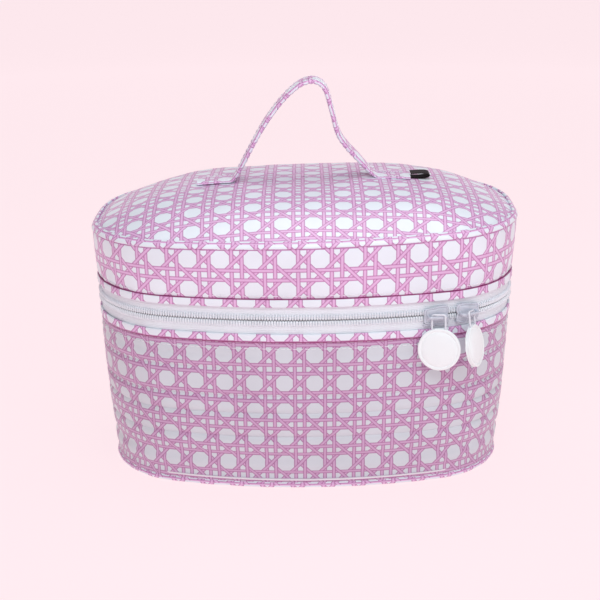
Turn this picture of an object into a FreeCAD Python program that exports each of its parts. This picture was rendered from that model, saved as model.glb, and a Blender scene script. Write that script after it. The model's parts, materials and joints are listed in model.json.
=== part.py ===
import FreeCAD, Part
import math
import os

# Makeup train case: a soft padded box of coated canvas with a domed lid, a coil zipper
# round three sides, a fabric hinge across the straight back and one strap handle.
# Millimetres. +X is the case's right, -Y its front, +Z up. The origin is the middle of
# the face that it rests on.

Vector = FreeCAD.Vector

# ---- overall sizes: the outline is measured at the top seam ----
HALF_WIDTH = 130.0
FRONT_DEPTH = 90.0
BACK_DEPTH = 85.0
FRONT_BOW_RADIUS = 330.0
FRONT_CORNER_RADIUS = 62.0
SIDE_BOW_RADIUS = 500.0
BACK_CORNER_RADIUS = 80.0

# ---- how far each level stands inside that outline ----
BASE_INSET = 8.0
BODY_RIM_INSET = 2.0
LID_RIM_INSET = 1.5
ZIP_BEHIND_RIM = 0.8

# ---- heights ----
BODY_HEIGHT = 97.0
ZIP_OPENING = 25.5
LID_BAND_HEIGHT = 32.0
DOME_RISE = 19.0
DOME_FULLNESS = 4.0

# ---- the padded wall, from the outside in ----
CANVAS = 0.9
FOAM = 4.0
LINING = 0.8
BOARD = 1.5
BASE_FOAM = 3.0
BINDING = 1.0
BINDING_WIDTH = 5.0

# ---- pipings ----
PIPING_PROUD = 1.2
PIPING_HEIGHT = 3.0
BASE_PIPING_LIFT = 0.3
ZIP_PIPING_HEIGHT = 4.5
ZIP_PIPING_PROUD = 1.0
ZIP_PIPING_ON_TAPE = 0.06

# ---- zipper ----
TAPE = 0.6
COIL_DEPTH = 1.6
COIL_HEIGHT = 2.9
COIL_PARTING = 1.3
PARTING_WEB = 0.6
FIT_GAP = 0.4
STOP_LENGTH = 3.0
STOP_DEPTH = 0.8
COIL_STOP_SHORT = 22.0

# ---- fabric hinge ----
HINGE_PANEL = 1.0
HINGE_PARTING = 0.6

# ---- sliders ----
SLIDER_LENGTH = 15.0
SLIDER_HEIGHT = 12.0
SLIDER_PLATE = 1.0
SLIDER_BACK_HEIGHT = 10.0
SLIDER_FLANGE = 1.3
SLIDER_WEB_LENGTH = 8.0
# Along the zipper from where the front bow meets the right front corner.
LEFT_SLIDER_BEFORE_CORNER = 7.0
RIGHT_SLIDER_PAST_CORNER = 12.4

# ---- crown and pull ----
CROWN_LENGTH = 12.0
CROWN_FOOT = 1.5
CROWN_BAR_RADIUS = 0.7
CROWN_STAND = 3.4
LOOP_WIRE_RADIUS = 0.6
LOOP_WIDTH = 7.8
LOOP_DROP = 9.6
LOOP_CORNER = 1.5
LOOP_PLAY = 0.4
DISC_RADIUS = 12.5
DISC_DROP = 18.8
DISC_LEATHER = 0.8
LEFT_TURN = -24.0
RIGHT_TURN = 36.0
LEFT_HANG = 7.0
RIGHT_HANG = 14.0

# ---- handle ----
STRAP_WIDTH = 18.0
STRAP_THICKNESS = 3.2
STRAP_SKIN = 0.8
STRAP_HEM = 3.5
STRAP_TAPER = 9.5
FOOT_LENGTH = 4.0
FOOT_GAP = 0.4
HANDLE_END_LENGTH = 22.0
HANDLE_END_THICKNESS = 2.2
PATCH_LENGTH = 30.0
PATCH_INSIDE_FOOT = 7.5
PATCH_WIDTH = 30.0
PATCH_THICKNESS = 1.2
# The arch, from the left foot to the right one: across, and above the foot line.
ARCH = [(-41.0, 0.0), (-31.0, 22.2), (-17.5, 43.2), (-3.0, 58.7), (11.5, 57.2),
        (18.0, 37.2), (22.5, 21.7), (42.0, 0.0)]
ARCH_BEND = 0.45

# ---- leather tab under the right handle end ----
TAB_LENGTH = 12.0
TAB_WIDTH = 11.0
TAB_LEATHER = 1.0
TAB_OPENING = 1.6

# ---- slip pocket on the inner back wall ----
POCKET_HALF_WIDTH = 48.0
POCKET_BOTTOM = 12.0
POCKET_HEIGHT = 50.0
POCKET_CLOTH = 0.7
ELASTIC_HEIGHT = 5.0
ELASTIC = 1.3

# ---- worked-out heights and levels ----
ZIP_INSET = BODY_RIM_INSET + ZIP_BEHIND_RIM
LID_RIM_Z = BODY_HEIGHT + ZIP_OPENING
ZIP_MID_Z = BODY_HEIGHT + ZIP_OPENING / 2
TOP_SEAM_Z = LID_RIM_Z + LID_BAND_HEIGHT
BASE_STACK = CANVAS + BOARD + BASE_FOAM + LINING
WALL = CANVAS + FOAM + LINING

# ---- worked-out centres of the outline's arcs: every level is concentric ----
FRONT_CENTRE = Vector(0, FRONT_BOW_RADIUS - FRONT_DEPTH, 0)
SIDE_CENTRE = Vector(HALF_WIDTH - SIDE_BOW_RADIUS, 0, 0)


def meeting_point(first, first_radius, second, second_radius):
    """The lower of the two points at given distances from two centres."""
    across = second - first
    gap = across.Length
    along = (first_radius ** 2 - second_radius ** 2 + gap ** 2) / (2 * gap)
    aside = math.sqrt(first_radius ** 2 - along ** 2)
    unit = across / gap
    normal = Vector(-unit.y, unit.x, 0)
    options = [first + unit * along + normal * aside, first + unit * along - normal * aside]
    return min(options, key=lambda point: point.y)


def bearing(start, end):
    return math.atan2(end.y - start.y, end.x - start.x)


CORNER_CENTRE = meeting_point(FRONT_CENTRE, FRONT_BOW_RADIUS - FRONT_CORNER_RADIUS,
                              SIDE_CENTRE, SIDE_BOW_RADIUS - FRONT_CORNER_RADIUS)
BACK_CENTRE_Y = BACK_DEPTH - BACK_CORNER_RADIUS
BACK_CENTRE_X = SIDE_CENTRE.x + math.sqrt((SIDE_BOW_RADIUS - BACK_CORNER_RADIUS) ** 2
                                          - BACK_CENTRE_Y ** 2)
BACK_CENTRE = Vector(BACK_CENTRE_X, BACK_CENTRE_Y, 0)
FRONT_END = bearing(FRONT_CENTRE, CORNER_CENTRE)
CORNER_END = bearing(SIDE_CENTRE, CORNER_CENTRE)
SIDE_END = bearing(SIDE_CENTRE, BACK_CENTRE)


def polar(centre, radius, angle, z):
    return Vector(centre.x + radius * math.cos(angle), centre.y + radius * math.sin(angle), z)


def arc(centre, radius, start, end, z):
    middle = (start + end) / 2
    points = [polar(centre, radius, angle, z) for angle in (start, middle, end)]
    return Part.Arc(*points).toShape()


def mirrored(centre):
    return Vector(-centre.x, centre.y, 0)


def zip_edges(inset, z, start=math.pi / 2):
    """The outline without its straight back; start is the bearing of its right end."""
    right = [
        (BACK_CENTRE, BACK_CORNER_RADIUS, start, SIDE_END),
        (SIDE_CENTRE, SIDE_BOW_RADIUS, SIDE_END, CORNER_END),
        (CORNER_CENTRE, FRONT_CORNER_RADIUS, CORNER_END, FRONT_END),
    ]
    edges = [arc(FRONT_CENTRE, FRONT_BOW_RADIUS - inset, FRONT_END, -math.pi - FRONT_END, z)]
    for centre, radius, begin, end in right:
        edges.append(arc(centre, radius - inset, begin, end, z))
        edges.append(arc(mirrored(centre), radius - inset, math.pi - begin, math.pi - end, z))
    return edges


def outline(inset, z):
    edges = zip_edges(inset, z)
    back = BACK_DEPTH - inset
    edges.append(Part.makeLine(Vector(-BACK_CENTRE.x, back, z), Vector(BACK_CENTRE.x, back, z)))
    return Part.Wire(Part.__sortEdges__(edges))


def wall_inset(z):
    return BASE_INSET + (BODY_RIM_INSET - BASE_INSET) * z / BODY_HEIGHT


def band_inset(z):
    return LID_RIM_INSET * (TOP_SEAM_Z - z) / LID_BAND_HEIGHT


def layer(inset, bottom, top):
    """A flat sheet with the case's outline."""
    return Part.Face(outline(inset, bottom)).extrude(Vector(0, 0, top - bottom))


def band(outer, inner, bottom, top):
    """An upright closed ring between two insets."""
    return layer(outer, bottom, top).cut(layer(inner, bottom, top))


def sloped(inset_at, extra, bottom, top):
    wires = [outline(inset_at(z) + extra, z) for z in (bottom, top)]
    return Part.makeLoft(wires, True, True)


def sloped_band(inset_at, outer, inner, bottom, top):
    """A closed ring that follows a leaning wall."""
    return sloped(inset_at, outer, bottom, top).cut(sloped(inset_at, inner, bottom, top))


def strip(outer, inner, bottom, top, start=math.pi / 2):
    """An upright strip along the zipper's path, open across the back."""
    edges = zip_edges(outer, bottom, start) + zip_edges(inner, bottom, start)
    corner = BACK_CORNER_RADIUS
    for centre, angle in ((BACK_CENTRE, start), (mirrored(BACK_CENTRE), math.pi - start)):
        edges.append(Part.makeLine(polar(centre, corner - outer, angle, bottom),
                                   polar(centre, corner - inner, angle, bottom)))
    wire = Part.Wire(Part.__sortEdges__(edges))
    return Part.Face(wire).extrude(Vector(0, 0, top - bottom))


def box(x0, x1, y0, y1, z0, z1):
    return Part.makeBox(x1 - x0, y1 - y0, z1 - z0, Vector(x0, y0, z0))


# ---- dome ----

DOME_STEPS = [0.96, 0.9, 0.8, 0.66, 0.48, 0.25, 0.04]


def dome_height(scale):
    return DOME_RISE * (1 - scale ** DOME_FULLNESS)


def scaled_outline(scale, inset, z):
    matrix = FreeCAD.Matrix()
    matrix.scale(scale, scale, 1)
    return Part.Wire(outline(inset, z).transformGeometry(matrix).Edges)


def dome(lift):
    """The solid under the lid's domed surface, moved up or down by lift."""
    if lift >= 0:
        first = outline(-lift, TOP_SEAM_Z)
        rim = 1.0
    else:
        rim = (1 + lift / DOME_RISE) ** (1 / DOME_FULLNESS)
        first = scaled_outline(rim, 0, TOP_SEAM_Z)
    wires = [first]
    for step in DOME_STEPS:
        scale = step * rim
        wires.append(scaled_outline(scale, 0, TOP_SEAM_Z + dome_height(scale) + lift))
    return Part.makeLoft(wires, True, True)


def dome_layer(low, high):
    return dome(high).cut(dome(low))


def on_dome(x0, x1, half_width, low, high):
    """A patch that lies along the dome between two lifts."""
    column = box(x0, x1, -half_width, half_width, TOP_SEAM_Z, TOP_SEAM_Z + 2 * DOME_RISE)
    return dome_layer(low, high).common(column)


# ---- body ----

def base_parts():
    inside = wall_inset(0) + CANVAS
    board_z = CANVAS
    foam_z = board_z + BOARD
    lining_z = foam_z + BASE_FOAM
    return {
        "base_outer_panel": sloped(wall_inset, 0, 0, CANVAS),
        "base_board": layer(inside, board_z, foam_z),
        "base_foam": layer(inside, foam_z, lining_z),
        "base_lining": layer(inside, lining_z, BASE_STACK),
        "base_piping": sloped_band(wall_inset, -PIPING_PROUD, 0, BASE_PIPING_LIFT,
                                   BASE_PIPING_LIFT + PIPING_HEIGHT),
    }


def body_wall_parts():
    top = BODY_HEIGHT
    corner = wall_inset(BASE_STACK) + WALL
    rim = BODY_RIM_INSET + WALL
    return {
        "body_wall_canvas": sloped_band(wall_inset, 0, CANVAS, CANVAS, top),
        "body_wall_foam": sloped_band(wall_inset, CANVAS, CANVAS + FOAM, BASE_STACK, top),
        "body_wall_lining": sloped_band(wall_inset, CANVAS + FOAM, WALL, BASE_STACK, top),
        "base_seam_binding": band(corner, corner + BINDING_WIDTH - BINDING,
                                  BASE_STACK, BASE_STACK + BINDING),
        "body_rim_binding": band(ZIP_INSET + TAPE, rim + TAPE, top, top + BINDING),
    }


def pocket_parts():
    cloth = WALL + POCKET_CLOTH
    top = POCKET_BOTTOM + POCKET_HEIGHT
    reach = box(-POCKET_HALF_WIDTH, POCKET_HALF_WIDTH, 0, BACK_DEPTH, 0, BODY_HEIGHT)
    pocket = sloped_band(wall_inset, WALL, cloth, POCKET_BOTTOM, top)
    elastic = sloped_band(wall_inset, WALL, WALL + ELASTIC, top, top + ELASTIC_HEIGHT)
    return {"slip_pocket": pocket.common(reach), "slip_pocket_elastic": elastic.common(reach)}


# ---- zipper and hinge ----

def tape_face(side):
    """The inset of the tape's outer face (+1) or inner face (-1)."""
    return ZIP_INSET - side * TAPE / 2


COIL_EDGE = COIL_PARTING / 2
# The coil stops on the back corner, where it still lies in front of the hinge line.
COIL_START = math.pi / 2 - COIL_STOP_SHORT / BACK_CORNER_RADIUS


def zipper_parts():
    low = ZIP_MID_Z - COIL_EDGE
    high = ZIP_MID_Z + COIL_EDGE
    outer = tape_face(1)
    inner = tape_face(-1)
    coil = outer - COIL_DEPTH
    seat = outer - ZIP_PIPING_ON_TAPE
    body_piping = BODY_RIM_INSET - ZIP_PIPING_PROUD
    lid_piping = LID_RIM_INSET - ZIP_PIPING_PROUD
    return {
        "body_zip_piping": strip(body_piping, seat, BODY_HEIGHT, BODY_HEIGHT + ZIP_PIPING_HEIGHT),
        "body_zip_tape": strip(outer, inner, BODY_HEIGHT, low),
        "body_zip_coil": strip(coil, outer, low - COIL_HEIGHT, low, COIL_START),
        "lid_zip_piping": strip(lid_piping, seat, LID_RIM_Z - ZIP_PIPING_HEIGHT, LID_RIM_Z),
        "lid_zip_tape": strip(outer, inner, high, LID_RIM_Z),
        "lid_zip_coil": strip(coil, outer, high, high + COIL_HEIGHT, COIL_START),
        "zip_end_stops": zip_end_stops(coil, low),
    }


def zip_end_stops(coil, top):
    """A crimped metal bar over each end of the body's coil."""
    radius = BACK_CORNER_RADIUS - coil
    right = sector(BACK_CENTRE, radius, radius + STOP_DEPTH,
                   COIL_START - STOP_LENGTH / radius, COIL_START, top - COIL_HEIGHT, top)
    left = right.mirror(Vector(0, 0, 0), Vector(1, 0, 0))
    return Part.makeCompound([left, right])


def hinge_parts():
    outer = BACK_DEPTH - BODY_RIM_INSET
    inner = outer - HINGE_PANEL
    half = BACK_CENTRE.x - FIT_GAP
    low = ZIP_MID_Z - HINGE_PARTING / 2
    high = ZIP_MID_Z + HINGE_PARTING / 2
    lining = inner - LINING
    return {
        "body_hinge_panel": box(-half, half, inner, outer, BODY_HEIGHT, low),
        "body_hinge_lining": box(-half, half, lining, inner, BODY_HEIGHT + BINDING, low),
        "lid_hinge_panel": box(-half, half, inner, outer, high, LID_RIM_Z),
        "lid_hinge_lining": box(-half, half, lining, inner, high, LID_RIM_Z - BINDING),
    }


# ---- lid ----

def lid_band_parts():
    low = LID_RIM_Z
    top = TOP_SEAM_Z
    rim = LID_RIM_INSET + WALL
    return {
        "lid_band_canvas": sloped_band(band_inset, 0, CANVAS, low, top),
        "lid_band_foam": sloped_band(band_inset, CANVAS, CANVAS + FOAM, low, top),
        "lid_band_lining": sloped_band(band_inset, CANVAS + FOAM, WALL, low, top),
        "lid_rim_binding": band(ZIP_INSET + TAPE, rim + TAPE, low - BINDING, low),
        "lid_seam_binding": lid_seam_binding(),
        "top_piping": band(-PIPING_PROUD, 0, top - PIPING_HEIGHT / 2, top + PIPING_HEIGHT / 2)
                      .cut(sloped(band_inset, 0, low, top)),
    }


def lid_seam_binding():
    rim = (1 - WALL / DOME_RISE) ** (1 / DOME_FULLNESS)
    opening = Part.Face(scaled_outline(rim, 0, TOP_SEAM_Z - BINDING))
    hole = opening.extrude(Vector(0, 0, BINDING))
    edge = band_inset(TOP_SEAM_Z - BINDING) + WALL
    return layer(edge, TOP_SEAM_Z - BINDING, TOP_SEAM_Z).cut(hole)


def top_parts():
    patches = [handle_patch(-1), handle_patch(1)]
    foam = dome_layer(-CANVAS - FOAM, -CANVAS)
    for patch in patches:
        foam = foam.cut(patch)
    return {
        "top_panel_canvas": dome_layer(-CANVAS, 0),
        "top_panel_foam": foam,
        "top_panel_lining": dome_layer(-WALL, -CANVAS - FOAM),
        "left_handle_patch": patches[0],
        "right_handle_patch": patches[1],
    }


# ---- handle ----

def foot_x(side):
    return ARCH[0][0] if side < 0 else ARCH[-1][0]


def span(side, near, far):
    """A range of x from near to far outwards from a handle foot."""
    ends = [foot_x(side) + side * near, foot_x(side) + side * far]
    return min(ends), max(ends)


def handle_patch(side):
    x0, x1 = span(side, -PATCH_INSIDE_FOOT, PATCH_LENGTH - PATCH_INSIDE_FOOT)
    return on_dome(x0, x1, PATCH_WIDTH / 2, -CANVAS - PATCH_THICKNESS, -CANVAS)


def handle_end(side):
    near = FOOT_LENGTH / 2 + FOOT_GAP
    x0, x1 = span(side, near, near + HANDLE_END_LENGTH)
    return on_dome(x0, x1, STRAP_WIDTH / 2, 0, HANDLE_END_THICKNESS)


def leather_tab():
    near = FOOT_LENGTH / 2 + FOOT_GAP + HANDLE_END_LENGTH
    x0, x1 = span(1, near, near + TAB_LENGTH)
    upper = TAB_LEATHER + TAB_OPENING
    lower_leaf = on_dome(x0, x1, TAB_WIDTH / 2, 0, TAB_LEATHER)
    upper_leaf = on_dome(x0, x1, TAB_WIDTH / 2, upper, upper + TAB_LEATHER)
    fold = on_dome(x1 - TAB_LEATHER, x1, TAB_WIDTH / 2, 0, upper + TAB_LEATHER)
    return lower_leaf.fuse([upper_leaf, fold]).removeSplitter()


HANDLE_AXIS_Z = TOP_SEAM_Z + dome_height(abs(ARCH[0][0]) / HALF_WIDTH) + STRAP_THICKNESS / 2 + FOOT_GAP


def arch_pieces():
    """The arch's centre line as straight runs and the arcs that join them."""
    points = [Vector(x, 0, HANDLE_AXIS_Z + z) for x, z in ARCH]
    pieces = []
    start = points[0]
    for before, corner, after in zip(points, points[1:], points[2:]):
        inward = (corner - before).normalize()
        outward = (after - corner).normalize()
        turn = inward.getAngle(outward)
        reach = ARCH_BEND * min((corner - before).Length, (after - corner).Length)
        radius = reach / math.tan(turn / 2)
        side = 1 if inward.cross(outward).y > 0 else -1
        first = corner - inward * reach
        last = corner + outward * reach
        pieces.append(("run", start, first))
        pieces.append(("bend", first, last, inward, side, radius, turn))
        start = last
    pieces.append(("run", start, points[-1]))
    return pieces


def aside(direction):
    """The direction a quarter turn clockwise from one in the XZ plane, seen from the front."""
    return Vector(direction.z, 0, -direction.x)


def arch_side(offset, lift):
    """One long side of the strap: the centre line moved sideways by offset."""
    edges = []
    shift = Vector(0, lift, 0)
    for piece in arch_pieces():
        if piece[0] == "run":
            move = aside((piece[2] - piece[1]).normalize()) * offset + shift
            edges.append(Part.makeLine(piece[1] + move, piece[2] + move))
            continue
        first, last, inward, side, radius, turn = piece[1:]
        centre = first + aside(inward) * side * radius
        spoke = first - centre
        halfway = FreeCAD.Rotation(Vector(0, 1, 0), math.degrees(turn / 2) * side).multVec(spoke)
        ends = [first - centre, halfway, last - centre]
        scale = (radius - side * offset) / radius
        edges.append(Part.Arc(*[centre + spoke * scale + shift for spoke in ends]).toShape())
    return edges


def ribbon(thickness, width):
    near = arch_side(-thickness / 2, -width / 2)
    far = arch_side(thickness / 2, -width / 2)
    caps = [Part.makeLine(near[0].Vertexes[0].Point, far[0].Vertexes[0].Point),
            Part.makeLine(near[-1].Vertexes[-1].Point, far[-1].Vertexes[-1].Point)]
    wire = Part.Wire(Part.__sortEdges__(near + far + caps))
    return Part.Face(wire).extrude(Vector(0, width, 0))


def foot_taper():
    """The strap narrows to its folded foot: a tall hexagon seen from the side."""
    top = HANDLE_AXIS_Z + 2 * ARCH[3][1]
    half = STRAP_WIDTH / 2
    foot = STRAP_THICKNESS / 2
    knee = HANDLE_AXIS_Z + STRAP_TAPER
    x = 2 * ARCH[0][0]
    corners = [(-foot, HANDLE_AXIS_Z), (foot, HANDLE_AXIS_Z), (half, knee), (half, top),
               (-half, top), (-half, knee)]
    points = [Vector(x, y, z) for y, z in corners]
    face = Part.Face(Part.makePolygon(points + points[:1]))
    return face.extrude(Vector(-2 * x, 0, 0))


def handle_foot(side, radius):
    start = Vector(foot_x(side) - FOOT_LENGTH / 2, 0, HANDLE_AXIS_Z)
    return Part.makeCylinder(radius, FOOT_LENGTH, start, Vector(1, 0, 0))


def handle_parts():
    radius = STRAP_THICKNESS / 2
    feet = [handle_foot(side, radius) for side in (-1, 1)]
    whole = ribbon(STRAP_THICKNESS, STRAP_WIDTH).common(foot_taper()).fuse(feet).removeSplitter()
    core = ribbon(STRAP_THICKNESS - 2 * STRAP_SKIN, STRAP_WIDTH - 2 * STRAP_HEM)
    above = box(-HALF_WIDTH, HALF_WIDTH, -STRAP_WIDTH, STRAP_WIDTH,
                HANDLE_AXIS_Z + STRAP_TAPER, HANDLE_AXIS_Z + 2 * ARCH[3][1])
    core = core.common(above)
    return {"handle_sleeve": whole.cut(core), "handle_core": core}


# ---- sliders and pulls ----

def sector(centre, inner, outer, start, end, bottom, top):
    """A block between two radii and two angles."""
    edges = [arc(centre, outer, start, end, bottom), arc(centre, inner, start, end, bottom)]
    for angle in (start, end):
        edges.append(Part.makeLine(polar(centre, inner, angle, bottom),
                                   polar(centre, outer, angle, bottom)))
    return Part.Face(Part.Wire(Part.__sortEdges__(edges))).extrude(Vector(0, 0, top - bottom))


class Track:
    """A stretch of the zipper that is one arc, with a slider on it."""

    def __init__(self, centre, radius, past_corner):
        self.centre = centre
        self.radius = radius - ZIP_INSET
        self.angle = FRONT_END + past_corner / self.radius

    def block(self, length, out0, out1, bottom, top, shift=0.0):
        middle = self.angle + shift / self.radius
        half = length / 2 / self.radius
        return sector(self.centre, self.radius + out0, self.radius + out1,
                      middle - half, middle + half, bottom, top)


FRONT_TRACK = Track(FRONT_CENTRE, FRONT_BOW_RADIUS, -LEFT_SLIDER_BEFORE_CORNER)
CORNER_TRACK = Track(CORNER_CENTRE, FRONT_CORNER_RADIUS, RIGHT_SLIDER_PAST_CORNER)
PLATE_OUT = TAPE / 2 + COIL_DEPTH + FIT_GAP
BACK_PLATE_OUT = -TAPE / 2 - FIT_GAP
BAR_OUT = PLATE_OUT + SLIDER_PLATE + CROWN_STAND


def slider_body(track):
    """Two plates joined by the parting web, with a flange under the body's coil."""
    low = ZIP_MID_Z - SLIDER_HEIGHT / 2
    high = ZIP_MID_Z + SLIDER_HEIGHT / 2
    front = track.block(SLIDER_LENGTH, PLATE_OUT, PLATE_OUT + SLIDER_PLATE, low, high)
    back = track.block(SLIDER_LENGTH, BACK_PLATE_OUT - SLIDER_PLATE, BACK_PLATE_OUT,
                       ZIP_MID_Z - SLIDER_BACK_HEIGHT / 2, ZIP_MID_Z + SLIDER_BACK_HEIGHT / 2)
    web = track.block(SLIDER_WEB_LENGTH, BACK_PLATE_OUT, PLATE_OUT,
                      ZIP_MID_Z - PARTING_WEB / 2, ZIP_MID_Z + PARTING_WEB / 2)
    flange = track.block(SLIDER_LENGTH, TAPE / 2 + FIT_GAP, PLATE_OUT, low, low + SLIDER_FLANGE)
    return front.fuse([back, web, flange]).removeSplitter()


def slider_crown(track):
    """A round bar along the travel, on two feet, that the pull's loop goes round."""
    face = PLATE_OUT + SLIDER_PLATE
    radius = CROWN_BAR_RADIUS
    across = tangent(track)
    start = bar_centre(track) - across * (CROWN_LENGTH / 2)
    bar = Part.makeCylinder(radius, CROWN_LENGTH, start, across)
    reach = (CROWN_LENGTH - CROWN_FOOT) / 2
    feet = [track.block(CROWN_FOOT, face, BAR_OUT, ZIP_MID_Z - radius, ZIP_MID_Z + radius, shift)
            for shift in (-reach, reach)]
    return bar.fuse(feet).removeSplitter()


def tangent(track):
    return Vector(-math.sin(track.angle), math.cos(track.angle), 0)


def bar_centre(track):
    return polar(track.centre, track.radius + BAR_OUT, track.angle, ZIP_MID_Z)


def wire_loop():
    """A closed loop of round wire in the XZ plane, hung over the origin."""
    half = LOOP_WIDTH / 2
    top = CROWN_BAR_RADIUS + LOOP_PLAY + LOOP_WIRE_RADIUS
    bottom = -LOOP_DROP
    corner = LOOP_CORNER
    edges = []
    for sx, sz in ((1, 1), (1, -1), (-1, -1), (-1, 1)):
        z = top - corner if sz > 0 else bottom + corner
        centre = Vector(sx * (half - corner), 0, z)
        diagonal = corner / math.sqrt(2)
        edges.append(Part.Arc(centre + Vector(sx * corner, 0, 0),
                              centre + Vector(sx * diagonal, 0, sz * diagonal),
                              centre + Vector(0, 0, sz * corner)).toShape())
    for sx in (-1, 1):
        edges.append(Part.makeLine(Vector(sx * half, 0, bottom + corner),
                                   Vector(sx * half, 0, top - corner)))
    for z in (bottom, top):
        edges.append(Part.makeLine(Vector(corner - half, 0, z), Vector(half - corner, 0, z)))
    path = Part.Wire(Part.__sortEdges__(edges))
    start = path.Edges[0].valueAt(path.Edges[0].FirstParameter)
    direction = path.Edges[0].tangentAt(path.Edges[0].FirstParameter)
    section = Part.Wire(Part.makeCircle(LOOP_WIRE_RADIUS, start, direction))
    return path.makePipeShell([section], True, True)


def disc(near, far, radius):
    """A round sheet facing the front, from one depth to another."""
    return Part.makeCylinder(radius, far - near, Vector(0, near, -DISC_DROP), Vector(0, 1, 0))


def pull_pieces():
    core = LOOP_WIRE_RADIUS
    face = core + DISC_LEATHER
    half = LOOP_WIDTH / 2 + LOOP_WIRE_RADIUS
    slot = box(-half, half, -core, core, -LOOP_DROP - LOOP_WIRE_RADIUS, 0)
    return {
        "pull_loop": wire_loop(),
        "pull_front_leather": disc(-face, -core, DISC_RADIUS),
        "pull_core": disc(-core, core, DISC_RADIUS - DISC_LEATHER).cut(slot),
        "pull_back_leather": disc(core, face, DISC_RADIUS),
    }


def hang(piece, track, turn, lean):
    """Turn a pull about its length, lean it off the wall and hang it on its crown bar."""
    piece = piece.copy()
    heading = math.degrees(bearing(Vector(0, 0, 0), tangent(track))) + turn
    piece.rotate(Vector(0, 0, 0), Vector(0, 0, 1), heading)
    piece.rotate(Vector(0, 0, 0), tangent(track) * -1, lean)
    piece.translate(bar_centre(track))
    return piece


def slider_parts(side, track, turn, lean):
    parts = {
        side + "_slider_body": slider_body(track),
        side + "_slider_crown": slider_crown(track),
    }
    for name, piece in pull_pieces().items():
        parts[side + "_" + name] = hang(piece, track, turn, lean)
    return parts


def all_parts():
    parts = {}
    parts.update(base_parts())
    parts.update(body_wall_parts())
    parts.update(pocket_parts())
    parts.update(zipper_parts())
    parts.update(hinge_parts())
    parts.update(lid_band_parts())
    parts.update(top_parts())
    parts.update({"left_handle_end": handle_end(-1), "right_handle_end": handle_end(1)})
    parts["leather_tab"] = leather_tab()
    parts.update(handle_parts())
    parts.update(slider_parts("left", FRONT_TRACK, LEFT_TURN, LEFT_HANG))
    parts.update(slider_parts("right", CORNER_TRACK, RIGHT_TURN, RIGHT_HANG))
    return parts


def main():
    os.makedirs("parts", exist_ok=True)
    for name, shape in all_parts().items():
        shape.exportStep(os.path.join("parts", name + ".step"))
        print(name, len(shape.Solids), "solid(s)", round(shape.Volume, 1), "mm3", shape.isValid())


main()
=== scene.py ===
# %% [markdown]
# # A makeup train case, piece by piece
# The object is a soft box with a domed lid: printed coated canvas over foam, a coil zipper round
# three sides, a fabric hinge at the back and one strap handle. This lesson dresses its engineering
# model. The model already says how big each part is and how it moves, so each piece below is made
# where its part lies and then rides on that part's body.

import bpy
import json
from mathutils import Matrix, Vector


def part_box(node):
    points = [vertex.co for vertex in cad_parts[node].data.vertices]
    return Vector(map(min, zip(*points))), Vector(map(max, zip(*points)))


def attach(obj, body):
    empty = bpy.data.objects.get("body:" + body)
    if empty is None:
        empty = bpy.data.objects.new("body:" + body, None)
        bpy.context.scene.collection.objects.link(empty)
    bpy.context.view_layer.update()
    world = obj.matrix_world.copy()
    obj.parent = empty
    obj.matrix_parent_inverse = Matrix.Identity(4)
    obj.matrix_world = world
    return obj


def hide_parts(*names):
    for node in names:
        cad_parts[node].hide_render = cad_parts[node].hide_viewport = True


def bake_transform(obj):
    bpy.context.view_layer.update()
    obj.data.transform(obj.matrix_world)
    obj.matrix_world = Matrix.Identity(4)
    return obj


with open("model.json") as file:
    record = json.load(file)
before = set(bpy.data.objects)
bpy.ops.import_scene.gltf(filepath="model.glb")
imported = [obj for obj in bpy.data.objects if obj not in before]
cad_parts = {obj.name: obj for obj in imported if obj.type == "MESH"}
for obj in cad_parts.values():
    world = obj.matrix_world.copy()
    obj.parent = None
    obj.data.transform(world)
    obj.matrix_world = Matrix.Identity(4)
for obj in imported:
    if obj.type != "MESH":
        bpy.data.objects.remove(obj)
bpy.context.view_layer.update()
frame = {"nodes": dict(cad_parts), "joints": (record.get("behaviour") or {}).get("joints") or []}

# %%
import json
import math

import bmesh
import bpy
import numpy as np
from mathutils import Vector

joints = {joint["name"]: joint for joint in frame["joints"]}
print("joints:", sorted(joints))

# %% [markdown]
# ## The outline that every panel follows
# Seen from above, the case is a ring of arcs: a shallow bow across the front, a wide corner at each
# end of it, nearly straight sides, tighter back corners and a straight back for the hinge. A tailor
# would measure along this line, so the code does too: `s` is the distance round the top seam from
# the middle of the front, positive to the right. An inset moves a point straight inwards, and every
# level of the case is this one outline at its own inset.

# %% Measure the outline
BAND_LOW, BAND_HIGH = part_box("lid_band_canvas")
HALF_WIDTH = BAND_HIGH[0]
FRONT_DEPTH = -BAND_LOW[1]
BACK_DEPTH = BAND_HIGH[1]
FRONT_BOW = 0.330
FRONT_CORNER = 0.062
SIDE_BOW = 0.500
BACK_CORNER = 0.080


def crossing(first, first_reach, second, second_reach):
    """The front one of the two points at given distances from two centres."""
    across = second - first
    gap = np.hypot(*across)
    along = (first_reach ** 2 - second_reach ** 2 + gap ** 2) / (2 * gap)
    aside = math.sqrt(first_reach ** 2 - along ** 2)
    unit = across / gap
    turned = np.array([-unit[1], unit[0]])
    found = [first + unit * along + turned * side * aside for side in (-1, 1)]
    return min(found, key=lambda point: point[1])


def bearing(start, end):
    return math.atan2(end[1] - start[1], end[0] - start[0])


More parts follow.
